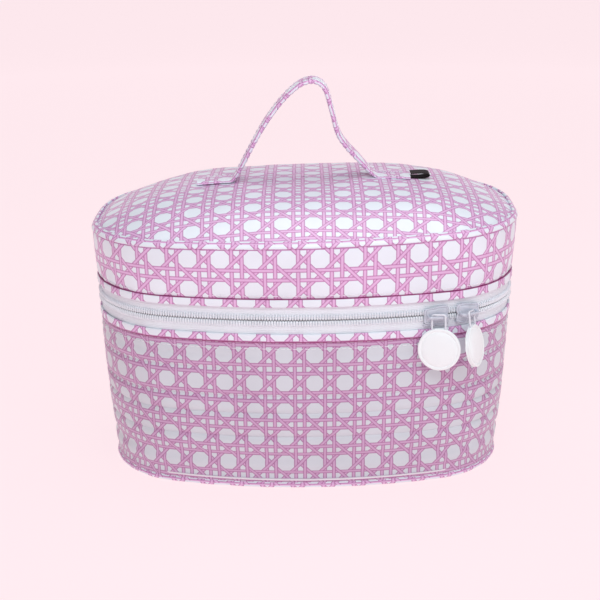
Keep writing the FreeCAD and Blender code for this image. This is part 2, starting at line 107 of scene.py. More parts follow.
front_centre = np.array([0.0, FRONT_BOW - FRONT_DEPTH])
side_centre = np.array([HALF_WIDTH - SIDE_BOW, 0.0])
corner_centre = crossing(front_centre, FRONT_BOW - FRONT_CORNER,
                         side_centre, SIDE_BOW - FRONT_CORNER)
back_y = BACK_DEPTH - BACK_CORNER
back_x = side_centre[0] + math.sqrt((SIDE_BOW - BACK_CORNER) ** 2 - back_y ** 2)
back_centre = np.array([back_x, back_y])
front_end = bearing(front_centre, corner_centre)
corner_end = bearing(side_centre, corner_centre)
side_end = bearing(side_centre, back_centre)
BENDS = [
    (front_centre, FRONT_BOW, -math.pi / 2, front_end),
    (corner_centre, FRONT_CORNER, front_end, corner_end),
    (side_centre, SIDE_BOW, corner_end, side_end),
    (back_centre, BACK_CORNER, side_end, math.pi / 2),
]
ZIP_END = sum(radius * (end - start) for _, radius, start, end in BENDS)
HALF_ROUND = ZIP_END + back_x
print("round the top seam:", round(2 * HALF_ROUND, 4), "m")


def outline(s):
    """Where the outline is at distance s, and the direction straight out of it."""
    s = np.asarray(s, float)
    rest = np.abs(s)
    point = np.stack([back_x - (rest - ZIP_END), np.full_like(rest, BACK_DEPTH)], -1)
    out = np.stack([np.zeros_like(rest), np.ones_like(rest)], -1)
    done = 0.0
    for centre, radius, start, end in BENDS:
        angle = start + (rest - done) / radius
        here = (rest >= done) & (angle <= end)
        ray = np.stack([np.cos(angle), np.sin(angle)], -1)
        point[here] = (centre + radius * ray)[here]
        out[here] = ray[here]
        done += radius * (end - start)
    flip = np.where(s < 0, -1.0, 1.0)
    point[..., 0] *= flip
    out[..., 0] *= flip
    return point, out


def wrap(s, inset, z):
    """Points on the case: distance round, distance in, height."""
    s, inset, z = np.broadcast_arrays(s, inset, z)
    point, out = outline(s)
    flat = point - out * inset[..., None]
    return np.concatenate([flat, z[..., None]], -1)


# %% [markdown]
# ## The levels of the case
# The heights come from the engineering model. The body stands a little inside the top seam's
# outline and tapers to its base, and the lid band flares the other way.

# %% Read the levels
RIM_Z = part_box("body_wall_canvas")[1][2]
LID_Z = BAND_LOW[2]
SEAM_Z = BAND_HIGH[2]
DOME_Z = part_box("top_panel_canvas")[1][2]
ZIP_Z = joints["lid_hinge"]["pos_m"][2]
BASE_IN = HALF_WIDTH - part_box("base_outer_panel")[1][0]
RIM_IN = HALF_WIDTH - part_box("body_wall_canvas")[1][0]
LID_IN = 0.0015
ZIP_IN = 0.0028
CANVAS = 0.0009
WALL = 0.0057
TAPE = 0.0006
DOME_FULLNESS = 4.0
LEAN = 0.0027
print("zipper at", round(ZIP_Z, 4), "and top seam at", round(SEAM_Z, 4))


def body_inset(z):
    return BASE_IN + (RIM_IN - BASE_IN) * z / RIM_Z


def band_inset(z):
    return LID_IN * (SEAM_Z - z) / (SEAM_Z - LID_Z)


def settle(points):
    """The soft lid has sunk a little on its left and stands up on its right."""
    share = np.clip((points[..., 2] - ZIP_Z) / (SEAM_Z - ZIP_Z), 0, 1)
    moved = points.copy()
    moved[..., 2] += LEAN * share * points[..., 0] / HALF_WIDTH
    return moved


# %% [markdown]
# ## Making skins
# Most pieces are a grid of points: rows across the piece, columns along it. `skin` turns such a
# grid into a mesh and gives it a cloth map, which is its place on the flat cloth in metres, so that
# a print or a weave has its real size. A grid can close on itself either way, as a hem does.


def finish_mesh(name, mesh, finish, body, nodes=()):
    """Put a mesh in the scene, on its body, in its finish."""
    piece = bpy.data.objects.new(name, mesh)
    bpy.context.scene.collection.objects.link(piece)
    mesh.materials.append(finish)
    if body:
        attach(piece, body)
    if nodes:
        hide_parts(*nodes)
    return piece


def tidy(mesh, smooth_angle=50):
    """Turn every face outwards and shade gentle bends smoothly."""
    work = bmesh.new()
    work.from_mesh(mesh)
    bmesh.ops.recalc_face_normals(work, faces=work.faces)
    work.to_mesh(mesh)
    work.free()
    mesh.shade_smooth()
    mesh.set_sharp_from_angle(angle=math.radians(smooth_angle))
    return mesh


def skin(name, points, cloth, wrapped=(False, False), caps=False, smooth_angle=50):
    """A grid of points as a mesh, with its place on the flat cloth as a UV map."""
    rows, cols = points.shape[:2]
    row = np.arange(rows if wrapped[0] else rows - 1)
    col = np.arange(cols if wrapped[1] else cols - 1)
    row, col = np.meshgrid(row, col, indexing="ij")
    corners = [(row, col), (row, col + 1), (row + 1, col + 1), (row + 1, col)]
    faces = np.stack([(r % rows) * cols + c % cols for r, c in corners], -1).reshape(-1, 4)
    places = np.stack([r * cloth.shape[1] + c for r, c in corners], -1).reshape(-1)
    flat = cloth.reshape(-1, 2)[places]
    faces = faces.tolist()
    if caps:
        ends = [np.arange(rows) * cols, np.arange(rows)[::-1] * cols + cols - 1]
        for end in ends:
            faces.append(end.tolist())
            flat = np.concatenate([flat, cloth.reshape(-1, 2)[:rows] * 0])
    mesh = bpy.data.meshes.new(name)
    mesh.from_pydata(points.reshape(-1, 3).tolist(), [], faces)
    layer = mesh.uv_layers.new(name="cloth")
    layer.data.foreach_set("uv", flat.astype(np.float32).ravel())
    return tidy(mesh, smooth_angle)


def lengths(points):
    """Distance along a line of points, from its first."""
    steps = np.linalg.norm(np.diff(points, axis=0), axis=1)
    return np.concatenate([[0.0], np.cumsum(steps)])


def waves(points, size, seed, count=9):
    """Smooth unevenness between about -1 and 1, the same on each run."""
    dice = np.random.default_rng(seed)
    total = np.zeros(points.shape[:-1])
    for _ in range(count):
        way = dice.normal(size=3)
        way *= 2 * math.pi / (size * dice.uniform(0.7, 1.7)) / np.linalg.norm(way)
        total += np.sin(points @ way + dice.uniform(0, 2 * math.pi))
    return total / math.sqrt(count)


def outward(points, size, seed):
    """Unevenness that only ever stands out, from 0 to 1, so that the layer behind stays hidden."""
    return np.clip(0.5 + 0.4 * waves(points, size, seed), 0, 1)


def around(step, reach=None):
    """Stations round the case. Without a reach they go all the way, the last on the first."""
    reach = reach or HALF_ROUND
    return np.linspace(-reach, reach, int(2 * reach / step) + 1)


# %% [markdown]
# A welt, a tape, a wall: each is one closed cross-section carried round the outline. `carried`
# does that. The section is a list of (inset, height) points, and `swell` may move them outwards,
# which is where the softness comes from.

# %% Carry a section round the case
def carried(name, section, s, swell=None, closed=True, shift=(0.0, 0.0), lid=False):
    section = np.asarray(section, float)
    loop = np.concatenate([section, section[:1]])
    across = lengths(loop)
    stations = s[:-1] if closed else s
    inset = section[:, :1] + np.zeros((1, len(stations)))
    z = section[:, 1:] + np.zeros((1, len(stations)))
    points = wrap(stations[None, :], inset, z)
    if swell:
        inset = inset - swell(points, stations[None, :], z, section)
        points = wrap(stations[None, :], inset, z)
    if lid:
        points = settle(points)
    place = np.stack(np.broadcast_arrays(s[None, :] + shift[0], across[:, None] + shift[1]), -1)
    return skin(name, points, place, wrapped=(True, closed), caps=not closed)


def bar(inner, outer, low, high, radius, steps=4):
    """A rounded rectangle as a section, from its inner low corner, outwards first."""
    points = []
    corners = [(outer + radius, low + radius, 1), (outer + radius, high - radius, 2),
               (inner - radius, high - radius, 3), (inner - radius, low + radius, 4)]
    for inset, z, turn in corners:
        for k in range(steps + 1):
            angle = math.pi / 2 * (k / steps + turn - 1)
            points.append((inset - radius * math.sin(angle), z - radius * math.cos(angle)))
    return points


# %% [markdown]
# ## Writing finishes as sums
# A finish is worked out from measurements on the surface. It reads best as arithmetic, so `Value`
# wraps one output socket and its operators add Math nodes. `Bench` is one material's workbench: its
# `node` makes any other node from its type, its settings and what goes into its sockets.

# %% Values, benches and colours
class Value:
    def __init__(self, bench, socket):
        self.bench = bench
        self.socket = socket

    def math(self, operation, *values, clamp=False):
        settings = {"operation": operation, "use_clamp": clamp}
        return self.bench.node("ShaderNodeMath", settings, dict(enumerate((self,) + values)))

    def __add__(self, other):
        return self.math("ADD", other)

    __radd__ = __add__

    def __mul__(self, other):
        return self.math("MULTIPLY", other)

    __rmul__ = __mul__

    def __sub__(self, other):
        return self.math("SUBTRACT", other)

    def __rsub__(self, other):
        return (self * -1.0) + other

    def __truediv__(self, other):
        return self.math("DIVIDE", other)

    def __abs__(self):
        return self.math("ABSOLUTE")

    def __gt__(self, other):
        return self.math("GREATER_THAN", other)

    def most(self, other):
        return self.math("MAXIMUM", other)

    def clamped(self):
        return self.math("ADD", 0.0, clamp=True)

    def toward(self, other, share):
        """This value where share is 0, the other where it is 1."""
        return self + (other - self) * share


class Bench:
    def __init__(self, name):
        self.material = bpy.data.materials.new(name)
        self.material.use_nodes = True
        self.tree = self.material.node_tree
        self.shader = self.tree.nodes["Principled BSDF"]

    def node(self, kind, settings=None, inputs=None, output=0):
        made = self.tree.nodes.new(kind)
        for key, value in (settings or {}).items():
            if key == "stops":
                ramp = made.color_ramp
                while len(ramp.elements) < len(value):
                    ramp.elements.new(1.0)
                for element, (place, colour) in zip(ramp.elements, value):
                    element.position = place
                    element.color = colour
            else:
                setattr(made, key, value)
        for key, value in (inputs or {}).items():
            self.plug(made.inputs[key], value)
        return Value(self, made.outputs[output])

    def plug(self, socket, value):
        if isinstance(value, Value):
            self.tree.links.new(value.socket, socket)
        else:
            socket.default_value = value

    def shade(self, **sockets):
        for name, value in sockets.items():
            self.plug(self.shader.inputs[name.replace("_", " ")], value)

    def cloth(self):
        """The place on the flat cloth, in metres."""
        place = self.node("ShaderNodeUVMap", {"uv_map": "cloth"})
        split = self.node("ShaderNodeSeparateXYZ", inputs={0: place})
        return split, Value(self, split.socket.node.outputs[1])

    def body_place(self):
        """The place in the case, in metres, whatever the pose."""
        return self.node("ShaderNodeTexCoord", output=3)

    def mix(self, share, first, second, blend="MIX"):
        settings = {"data_type": "RGBA", "blend_type": blend}
        return self.node("ShaderNodeMix", settings, {0: share, 6: first, 7: second}, output=2)

    def noise(self, place, size, detail=3.0, roughness=0.5):
        inputs = {"Vector": place, "Scale": 1 / size, "Detail": detail, "Roughness": roughness}
        return self.node("ShaderNodeTexNoise", inputs=inputs)

    def bump(self, height, depth, normal=None):
        inputs = {"Height": height, "Distance": depth, "Strength": 1.0}
        if normal:
            inputs["Normal"] = normal
        return self.node("ShaderNodeBump", inputs=inputs)


def shade_of(red, green, blue):
    """A colour as a painter reads it, 0 to 255, in the renderer's linear numbers."""
    parts = [channel / 255 for channel in (red, green, blue)]
    linear = [c / 12.92 if c <= 0.04045 else ((c + 0.055) / 1.055) ** 2.4 for c in parts]
    return (*linear, 1.0)


# %% [markdown]
# ## The printed canvas
# The print is an open cane weave: upright and level strands in pairs, and two slanting strands
# through each crossing, which leave eight-sided white holes. One hole and its share of the strands
# is a cell, so the maths works in one cell: `a` and `b` run from -0.5 to 0.5 across it, with the
# hole at the middle. Each strand is a distance from its own line, and the strands are laid over
# each other in order: level and upright ones under, the slants next, then the other of the pair on
# top, swapping from one quarter of the cell to the next as a real weave does.

# %% The cane print
CELL = 0.0179
STRAND_AT = 0.345
STRAND_HALF = 0.074
SLANT_HALF = 0.071
SOFT_EDGE = 0.02
PRINT_WHITE = shade_of(238, 245, 252)
STRAND_LIGHT = shade_of(231, 188, 226)
STRAND_MID = shade_of(210, 150, 200)
STRAND_EDGE = shade_of(174, 94, 154)
# The dark magenta of the painted shade in seam folds, not a colour of the canvas itself.
PAINTED_CREASE_SHADE = shade_of(168, 56, 126)


def lay(under, line, half):
    """Lay a strand over what is there. Under is how far across a strand, and how covered."""
    tone, cover = under
    across = line / half
    here = ((1.0 - across) * (half / SOFT_EDGE)).clamped()
    return tone.toward(across, here), cover.most(here)


def cane_print(bench, cell, start):
    """How far across its strand each point is, and whether it is on a strand at all."""
    along, up = bench.cloth()
    a = ((along - start[0]) / cell + 0.5).math("FRACT") - 0.5
    b = ((up - start[1]) / cell + 0.5).math("FRACT") - 0.5
    upright = abs(abs(a) - STRAND_AT)
    level = abs(abs(b) - STRAND_AT)
    rising = abs(abs(b - a) - 0.5) / math.sqrt(2)
    falling = abs(abs(a + b) - 0.5) / math.sqrt(2)
    quarter = (a * b) > 0.0
    steep = abs(a) > abs(b)
    bottom = upright.toward(level, quarter)
    top = level.toward(upright, quarter)
    over = falling.toward(rising, steep)
    under = rising.toward(falling, steep)
    across = bottom / STRAND_HALF
    cover = ((1.0 - across) * (STRAND_HALF / SOFT_EDGE)).clamped()
    laid = (across, cover)
    for line, half in ((under, SLANT_HALF), (over, SLANT_HALF), (top, STRAND_HALF)):
        laid = lay(laid, line, half)
    return laid


def canvas_finish(name, cell=CELL, start=(0.0, 0.0), shaded_seams=(), dull=1.0):
    """Printed cotton canvas under a thin clear coat of vinyl, with painted shade in its seams."""
    bench = Bench(name)
    across, cover = cane_print(bench, cell, start)
    stops = [(0.0, STRAND_LIGHT), (0.30, STRAND_LIGHT), (0.55, STRAND_MID), (0.85, STRAND_EDGE)]
    strand = bench.node("ShaderNodeValToRGB", {"stops": stops}, {0: across})
    place = bench.body_place()
    faded = bench.noise(place, 0.03)
    # Painted shade: a dimming below 1 darkens the whole print, making a shaded copy of the canvas.
    tint = (1.0 - faded) * 0.16 * dull + 0.92 * dull
    shaded = bench.node("ShaderNodeCombineColor", inputs={0: tint, 1: tint, 2: tint})
    colour = bench.mix(cover, PRINT_WHITE, strand)
    colour = bench.mix(1.0, colour, shaded, "MULTIPLY")
    along, up = bench.cloth()
    # Painted shade: near each listed seam height the colour darkens, as the fold's shadow.
    for shaded_seam, reach in shaded_seams:
        depth = ((1.0 - abs(up - shaded_seam) / reach) * 1.8).clamped()
        colour = bench.mix(depth * 0.95, colour, PAINTED_CREASE_SHADE)
    thread = 2 * math.pi / 0.0007
    weave = (along * thread).math("SINE") * (up * thread).math("SINE")
    grain = bench.noise(place, 0.0016, 2.0)
    normal = bench.bump(weave * 0.5 + grain, 0.00006)
    normal = bench.bump(bench.noise(place, 0.014, 2.0), 0.0004, normal)
    bench.shade(Base_Color=colour, Roughness=faded * 0.18 + 0.30, Normal=normal)
    bench.shader.inputs["Coat Weight"].default_value = 0.25
    bench.shader.inputs["Coat Roughness"].default_value = 0.22
    bench.shader.inputs["Specular IOR Level"].default_value = 0.45
    return bench.material


# The body print is dimmed to 0.79 as painted shade under the lid, with painted shade in its seams.
body_canvas = canvas_finish("body print", CELL, (0.0053, 0.0885), [(RIM_Z, 0.0014), (0.0, 0.002)],
                            dull=0.79)
# The band print gets painted shade along its lower edge and along its top seam.
band_canvas = canvas_finish("lid band print", 0.0190, (0.0087, 0.1283),
                            [(LID_Z, 0.0010), (SEAM_Z, 0.0014)])
top_canvas = canvas_finish("top print", 0.0177, (0.0052, -0.0063))
welt_canvas = canvas_finish("welt print", 0.0190, (0.004, 0.0105))
# The strips get painted shade along both of their folded edges.
strip_canvas = canvas_finish("strip print", 0.0190, (0.004, 0.0065),
                             [(0.0, 0.0008), (0.0078, 0.0008)])
strap_canvas = canvas_finish("strap print", 0.0179, (0.0, 0.0))

# %% [markdown]
# ## The plainer finishes
# Zipper tape is a close knit with fine ribs. The coil is nylon, the sliders are white enamel over
# cast metal, and the pulls are smooth leather with fine pores. Inside is a wipe-clean lining.

# %% Plain finishes
def plain_finish(name, colour, roughness, grain, depth, mottle=0.1, coat=0.0, ribs=None):
    """A colour with its own grain: size and depth of the grain, and how blotchy it is."""
    bench = Bench(name)
    place = bench.body_place()
    fine = bench.noise(place, grain, 3.0)
    broad = bench.noise(place, grain * 14, 2.0)
    tint = (broad - 0.5) * mottle + 1.0
    shaded = bench.node("ShaderNodeCombineColor", inputs={0: tint, 1: tint, 2: tint})
    mixed = bench.mix(1.0, colour, shaded, "MULTIPLY")
    height = fine
    if ribs:
        along, up = bench.cloth()
        height = (along * (2 * math.pi / ribs[0])).math("SINE") * 0.5 + fine * 0.5
        height = height + (up * (2 * math.pi / ribs[1])).math("SINE") * 0.5
    bench.shade(Base_Color=mixed, Roughness=(fine - 0.5) * 0.16 + roughness,
                Normal=bench.bump(height, depth))
    bench.shader.inputs["Coat Weight"].default_value = coat
    bench.shader.inputs["Coat Roughness"].default_value = 0.12
    return bench.material


tape_knit = plain_finish("tape knit", shade_of(240, 247, 252), 0.75, 0.0008, 0.00012,
                         ribs=(0.0008, 0.0011))
nylon = plain_finish("coil nylon", shade_of(243, 249, 253), 0.42, 0.0006, 0.00002)
thread_white = plain_finish("white thread", shade_of(244, 244, 248), 0.7, 0.0004,
                            0.00005)
enamel = plain_finish("white enamel", shade_of(226, 231, 238), 0.26, 0.002, 0.00002,
                      mottle=0.04, coat=0.6)
# Sliders: white enamel darkened as painted shade, with blotches of wear and painted recess shade.
shaded_casting = plain_finish("cast enamel", shade_of(200, 206, 217), 0.24, 0.00035,
                       0.00003, mottle=0.35, coat=0.7)
leather = plain_finish("white leather", shade_of(246, 252, 252), 0.48, 0.0009,
                       0.00006, mottle=0.05, coat=0.08)
dark_leather = plain_finish("dark leather", shade_of(26, 11, 14), 0.7, 0.0007,
                            0.00010, mottle=0.4)
lining = plain_finish("lining", shade_of(236, 233, 238), 0.55, 0.0012, 0.00005,
                      mottle=0.06)
binding = plain_finish("binding tape", shade_of(230, 226, 232), 0.8, 0.0006, 0.0001)
foam = plain_finish("foam", shade_of(240, 236, 224), 0.9, 0.0015, 0.0002)
board = plain_finish("board", shade_of(206, 196, 178), 0.85, 0.004, 0.00008, mottle=0.3)

# %% [markdown]
# ## The body's wall
# One long panel of canvas goes round the case and is sewn to the base and to the zipper. Foam
# behind it makes it stand, so it is not slack: it bulges by a millimetre between its seams, dips
# where a stitch line pulls it in, and puckers beside that line. Moving the grid's points by a few
# plain formulas gives exactly those, and the cloth map stays true for the print.

# %% Wall of the body
STITCH_DROP = 0.0048
BODY_STITCH_Z = RIM_Z - STITCH_DROP
LID_STITCH_Z = LID_Z + 0.0024


def ridge(x, width):
    return np.exp(-(x / width) ** 2)


def soft_wall(bottom, top, stitch, bulge, seed):
    """How far a sewn, foam-backed wall stands out at each point."""
    def swell(points, s, z, section):
        share = np.clip((z - bottom) / (top - bottom), 0, 1)
        out = bulge * np.sin(np.pi * share) ** 0.45
        out = out + 0.0007 * outward(points, 0.055, seed) * np.sin(np.pi * share) ** 0.5
        out = out + 0.0002 * outward(points, 0.016, seed + 1)
        near = ridge(z - stitch, 0.007)
        out = out + 0.00022 * near * waves(points * np.array([1, 1, 0.15]), 0.010, seed + 2)
        out = out - 0.00035 * ridge(z - stitch, 0.0011)
        out = out - 0.0007 * ridge(z - top, 0.0016) - 0.0007 * ridge(z - bottom, 0.0016)
        outer = section[:, :1] < section_middle(section, z[:, :1])
        return out * outer
    return swell


def section_middle(section, z):
    """The inset half way through a wall at each height, to tell its outer face from its inner."""
    mean = np.array([section[np.abs(section[:, 1] - h) < 0.004, 0].mean() for h in z[:, 0]])
    return mean[:, None]


def wall_section(inset_at, low, high, thickness, fine=44, coarse=8):
    """Up the outer face in fine steps and down the inner face in coarse ones."""
    up = np.linspace(low, high, fine)
    down = np.linspace(high, low, coarse)
    outer = [(inset_at(z), z) for z in up]
    inner = [(inset_at(z) + thickness, z) for z in down]
    return outer + inner


ROUND = around(0.0022)
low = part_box("body_wall_canvas")[0][2]
section = wall_section(body_inset, low, RIM_Z, CANVAS)
swell = soft_wall(low, RIM_Z, BODY_STITCH_Z, 0.0009, 11)
mesh = carried("body_wall", section, ROUND, swell, shift=(0.0, low))
finish_mesh("body_wall", mesh, body_canvas, "root", ["body_wall_canvas"])
print("body wall faces:", len(mesh.polygons))

# %% Wall of the lid
section = wall_section(band_inset, LID_Z, SEAM_Z, CANVAS, 24, 6)
swell = soft_wall(LID_Z, SEAM_Z, LID_STITCH_Z, 0.0006, 23)
mesh = carried("lid_band", section, ROUND, swell, shift=(0.0, LID_Z), lid=True)
finish_mesh("lid_band", mesh, band_canvas, "lid", ["lid_band_canvas"])
print("lid band faces:", len(mesh.polygons))

# %% [markdown]
# ## The domed top
# The top panel is padded canvas, pulled over foam and sewn down all round. It rises quickly from
# the seam and is nearly flat in the middle. The grid here is the outline itself, shrunk towards
# the middle ring by ring, so the rings are dense near the seam where the cloth bends most.

# %% Dome
RISE = DOME_Z - SEAM_Z


def dome_height(scale):
    return RISE * (1 - scale ** DOME_FULLNESS)


def dome_stretch(half):
    """How much longer the cloth is than its plan, from the middle to each scale."""
    scales = np.linspace(0, 1, 400)
    path = np.stack([scales * half, dome_height(scales)], -1)
    return scales, lengths(path) / np.maximum(scales * half, 1e-9)


def dome_grid(scales, s, lift=0.0):
    point, _ = outline(s)
    flat = scales[:, None, None] * point[None, :, :]
    z = SEAM_Z + dome_height(scales)[:, None] + lift + np.zeros((1, len(s)))
    return np.concatenate([flat, z[..., None]], -1)


def dome_cloth(scales, s):
    point, _ = outline(s)
    flat = scales[:, None, None] * point[None, :, :]
    for axis, half in ((0, HALF_WIDTH), (1, FRONT_DEPTH)):
        known, stretch = dome_stretch(half)
        flat[..., axis] *= np.interp(scales, known[1:], stretch[1:])[:, None]
    return flat


scales = 1 - np.linspace(0, 1, 46) ** 1.35 * 0.985
points = dome_grid(scales, ROUND[:-1])
share = np.clip((1 - scales) / 0.25, 0, 1)[:, None]
edge = ridge(1 - scales, 0.012)[:, None]
points[..., 2] += (0.0012 * outward(points, 0.07, 31) + 0.0004 * outward(points, 0.02, 32)) * share
plan = points * np.array([1, 1, 0])
points[..., 2] += 0.0005 * outward(plan, 0.012, 33) * (1 - share) * (1 - edge)
points[..., 2] -= 0.0004 * edge
under = points[::-1][::5].copy()
under[..., 2] -= CANVAS
points = np.concatenate([points, under])
cloth = dome_cloth(scales, ROUND)
cloth = np.concatenate([cloth, cloth[::-1][::5], cloth[:1]])
mesh = skin("top_panel", settle(points), cloth, wrapped=(True, True))
finish_mesh("top_panel", mesh, top_canvas, "lid", ["top_panel_canvas"])
print("dome faces:", len(mesh.polygons))

# %% [markdown]
# ## Welts
# A thin roll of the same canvas covers the seam at the base and at the top, and a flat folded strip
# covers each edge of the zipper. The strips are bars with rounded corners, carried round the case.

# %% Welts and zipper strips
WELT = 0.0014


def roll(inset, z, tall, deep, lean=0.0, steps=16):
    """An oval section; lean turns its top inwards, in radians."""
    turns = np.linspace(0, 2 * math.pi, steps, endpoint=False)
    out, up = deep * np.cos(turns), tall * np.sin(turns)
    cos, sin = math.cos(lean), math.sin(lean)
    return list(zip(inset - out * cos + up * sin, z + out * sin + up * cos))


def uneven(amount, size, seed):
    return lambda points, s, z, section: amount * waves(points, size, seed)


fine_round = around(0.0018)
mesh = carried("base_welt", roll(BASE_IN - 0.0001, 0.0018, 0.0017, WELT), fine_round,
               uneven(0.00012, 0.02, 41), shift=(0.0, 0.004))
finish_mesh("base_welt", mesh, welt_canvas, "root", ["base_piping"])
mesh = carried("top_welt", roll(0.0008, SEAM_Z + 0.0010, 0.0025, 0.0010, 0.75), fine_round,
               uneven(0.00012, 0.02, 42), shift=(0.0, 0.004), lid=True)
finish_mesh("top_welt", mesh, welt_canvas, "lid", ["top_piping"])

zip_round = around(0.0018, ZIP_END)
STRIP = 0.0045
section = bar(ZIP_IN - TAPE / 2 - 0.0001, RIM_IN - 0.001, RIM_Z - 0.0003, RIM_Z + STRIP, 0.0007)
mesh = carried("body_zip_strip", section, zip_round, uneven(0.00012, 0.02, 43), closed=False)
finish_mesh("body_zip_strip", mesh, strip_canvas, "root", ["body_zip_piping"])
section = bar(ZIP_IN - TAPE / 2 - 0.0001, LID_IN - 0.001, LID_Z - STRIP, LID_Z + 0.0003, 0.0007)
mesh = carried("lid_zip_strip", section, zip_round, uneven(0.00012, 0.02, 44), closed=False,
               shift=(0.0, 0.002), lid=True)
finish_mesh("lid_zip_strip", mesh, strip_canvas, "lid", ["lid_zip_piping"])
print("welts and strips made")

# %% [markdown]
# ## Stitches, teeth and other small repeats
# A row of stitches is one small shape put down many times. Each place needs three directions:
# along the seam, up the cloth and out of it. `scatter` copies a template to every place and joins
# the lot as one piece, which is light to handle and still real geometry.

# %% Repeat a small shape along a line
def scatter(template, places, along, up, out):
    """Copies of a template mesh: (points, faces), its x along, y up and z out of the surface."""
    points, faces = template
    points = np.asarray(points, float)
    axes = np.stack([along, up, out], 1)
    copies = places[:, None, :] + np.einsum("pk,nkd->npd", points, axes)
    offsets = np.arange(len(places)) * len(points)
    whole = [[corner + int(offset) for corner in face] for offset in offsets for face in faces]
    return copies.reshape(-1, 3), whole


def solid(name, points, faces, smooth_angle=50):
    mesh = bpy.data.meshes.new(name)
    mesh.from_pydata(np.asarray(points).tolist(), [], faces)
    return tidy(mesh, smooth_angle)


def tube_template(path, radius, sides=8, flat=1.0):
    """A tube along a short open path, closed at both ends; flat squashes it outwards."""
    path = np.asarray(path, float)
    ways = np.gradient(path, axis=0)
    ways /= np.linalg.norm(ways, axis=1)[:, None]
    helper = np.array([0.0, 0.0, 1.0])
    points = []
    for centre, way, reach in zip(path, ways, np.broadcast_to(radius, len(path))):
        side = np.cross(helper, way)
        side = side / np.linalg.norm(side) if np.linalg.norm(side) > 0.1 else np.array([1.0, 0, 0])
        lift = np.cross(way, side)
        for k in range(sides):
            angle = 2 * math.pi * k / sides
            points.append(centre + reach * (side * math.cos(angle) + lift * math.sin(angle) * flat))
    faces = []
    for row in range(len(path) - 1):
        for k in range(sides):
            near = row * sides + k
            far = row * sides + (k + 1) % sides
            faces.append([near, far, far + sides, near + sides])
    faces.append(list(range(sides))[::-1])
    faces.append([(len(path) - 1) * sides + k for k in range(sides)])
    return np.array(points), faces


def frames(s, inset, z, slope=0.0):
    """Places on the case with their along, up and out directions."""
    point, out = outline(s)
    places = wrap(s, inset, z)
    out = np.concatenate([out, np.zeros((len(out), 1))], 1)
    upright = np.array([0.0, 0.0, 1.0])
    along = np.cross(upright, out)
    up = upright - slope * out
    up /= np.linalg.norm(up, axis=1)[:, None]
    return places, along, up, np.cross(along, up)


STITCH = 0.0026
arc_of_thread = np.linspace(-1, 1, 7)
thread_path = np.stack([arc_of_thread * STITCH / 2, 0 * arc_of_thread,
                        0.00022 - 0.0005 * arc_of_thread ** 4], -1)
stitch = tube_template(thread_path, 0.00021, 6)


def stitch_row(name, inset, z, reach, body, pitch=0.0036, lid=False):
    s = np.arange(-reach, reach, pitch)
    places, along, up, out = frames(s, inset, z)
    if lid:
        places = settle(places)
    points, faces = scatter(stitch, places, along, up, out)
    finish_mesh(name, solid(name, points, faces), thread_white, body)


stitch_row("body_stitching", body_inset(BODY_STITCH_Z) - 0.0001, BODY_STITCH_Z, ZIP_END, "root")
stitch_row("lid_stitching", band_inset(LID_STITCH_Z) - 0.0001, LID_STITCH_Z, ZIP_END, "lid",
           lid=True)
print("stitching done")

# %% [markdown]
# ## The zipper
# A coil zipper is two knitted tapes, each with a coil of nylon sewn along its edge. Seen from the
# front a coil is a row of round-backed loops, each a short leg across the edge with a fatter head,
# and the loops of one row sit between the loops of the other. So each tooth is a bent, thickening
# tube, set down every millimetre and a half, and the second row starts half a step later.

# %% Zipper tapes
COIL_OUT = 0.0016
COIL_STOP = 0.022
PARTING = 0.00065
COIL_TALL = 0.0029
coil_reach = ZIP_END - COIL_STOP * (BACK_CORNER - ZIP_IN) / BACK_CORNER
tape_round = around(0.0025, ZIP_END)


def sewn_tape(edge, coil_edge):
    """A tape lies flat, dips where its coil is sewn on and swells a little elsewhere."""
    def swell(points, s, z, section):
        return 0.00012 * waves(points, 0.02, 51) * np.clip(np.abs(z - coil_edge) / 0.003, 0, 1)
    return swell


low, high = ZIP_Z - PARTING, ZIP_Z + PARTING
for name, body, bottom, top, node in (("body_tape", "root", RIM_Z, low, "body_zip_tape"),
                                      ("lid_tape", "lid", high, LID_Z, "lid_zip_tape")):
    up = np.linspace(bottom, top, 10)
    section = [(ZIP_IN - TAPE / 2, z) for z in up] + [(ZIP_IN + TAPE / 2, z) for z in up[::-1]]
    mesh = carried(name, section, tape_round, sewn_tape(bottom, (low + high) / 2), closed=False,
                   lid=body == "lid")
    finish_mesh(name, mesh, tape_knit, body, [node])

# %% Zipper coils
PITCH = 0.0016
TOOTH_REACH = 0.00035
tooth_line = np.array([(0, -1.0, 0.10), (0, -0.86, 0.62), (0, -0.5, 0.90), (0, 0.0, 0.96),
                       (0, 0.5, 0.92), (0, 0.86, 0.62), (0, 1.0, 0.15)])
tooth_line = tooth_line * np.array([1, COIL_TALL * 0.52, COIL_OUT * 0.62])
tooth = tube_template(tooth_line, np.array([0.30, 0.36, 0.40, 0.42, 0.50, 0.50, 0.30]) * 0.0011, 8)
tooth_down = (tooth[0] * np.array([1, -1, 1]), [face[::-1] for face in tooth[1]])
dot_line = [(-0.0005, 0, 0.0), (-0.0002, 0, 0.0002), (0.0002, 0, 0.0002), (0.0005, 0, 0.0)]
dot = tube_template(dot_line, 0.00016, 5)


def coil(name, template, z, sew_z, start, body, nodes, lid=False):
    s = np.arange(-coil_reach + start, coil_reach, PITCH)
    surface = ZIP_IN - TAPE / 2
    places, along, up, out = frames(s, surface, z)
    sewn, sewn_along, sewn_up, sewn_out = frames(s, surface - COIL_OUT * 0.93, sew_z)
    if lid:
        places, sewn = settle(places), settle(sewn)
    points, faces = scatter(template, places, along, up, out)
    finish_mesh(name, solid(name, points, faces, 60), nylon, body, nodes)
    points, faces = scatter(dot, sewn, sewn_along, sewn_up, sewn_out)
    finish_mesh(name + "_thread", solid(name + "_thread", points, faces), thread_white, body)
    return len(s)


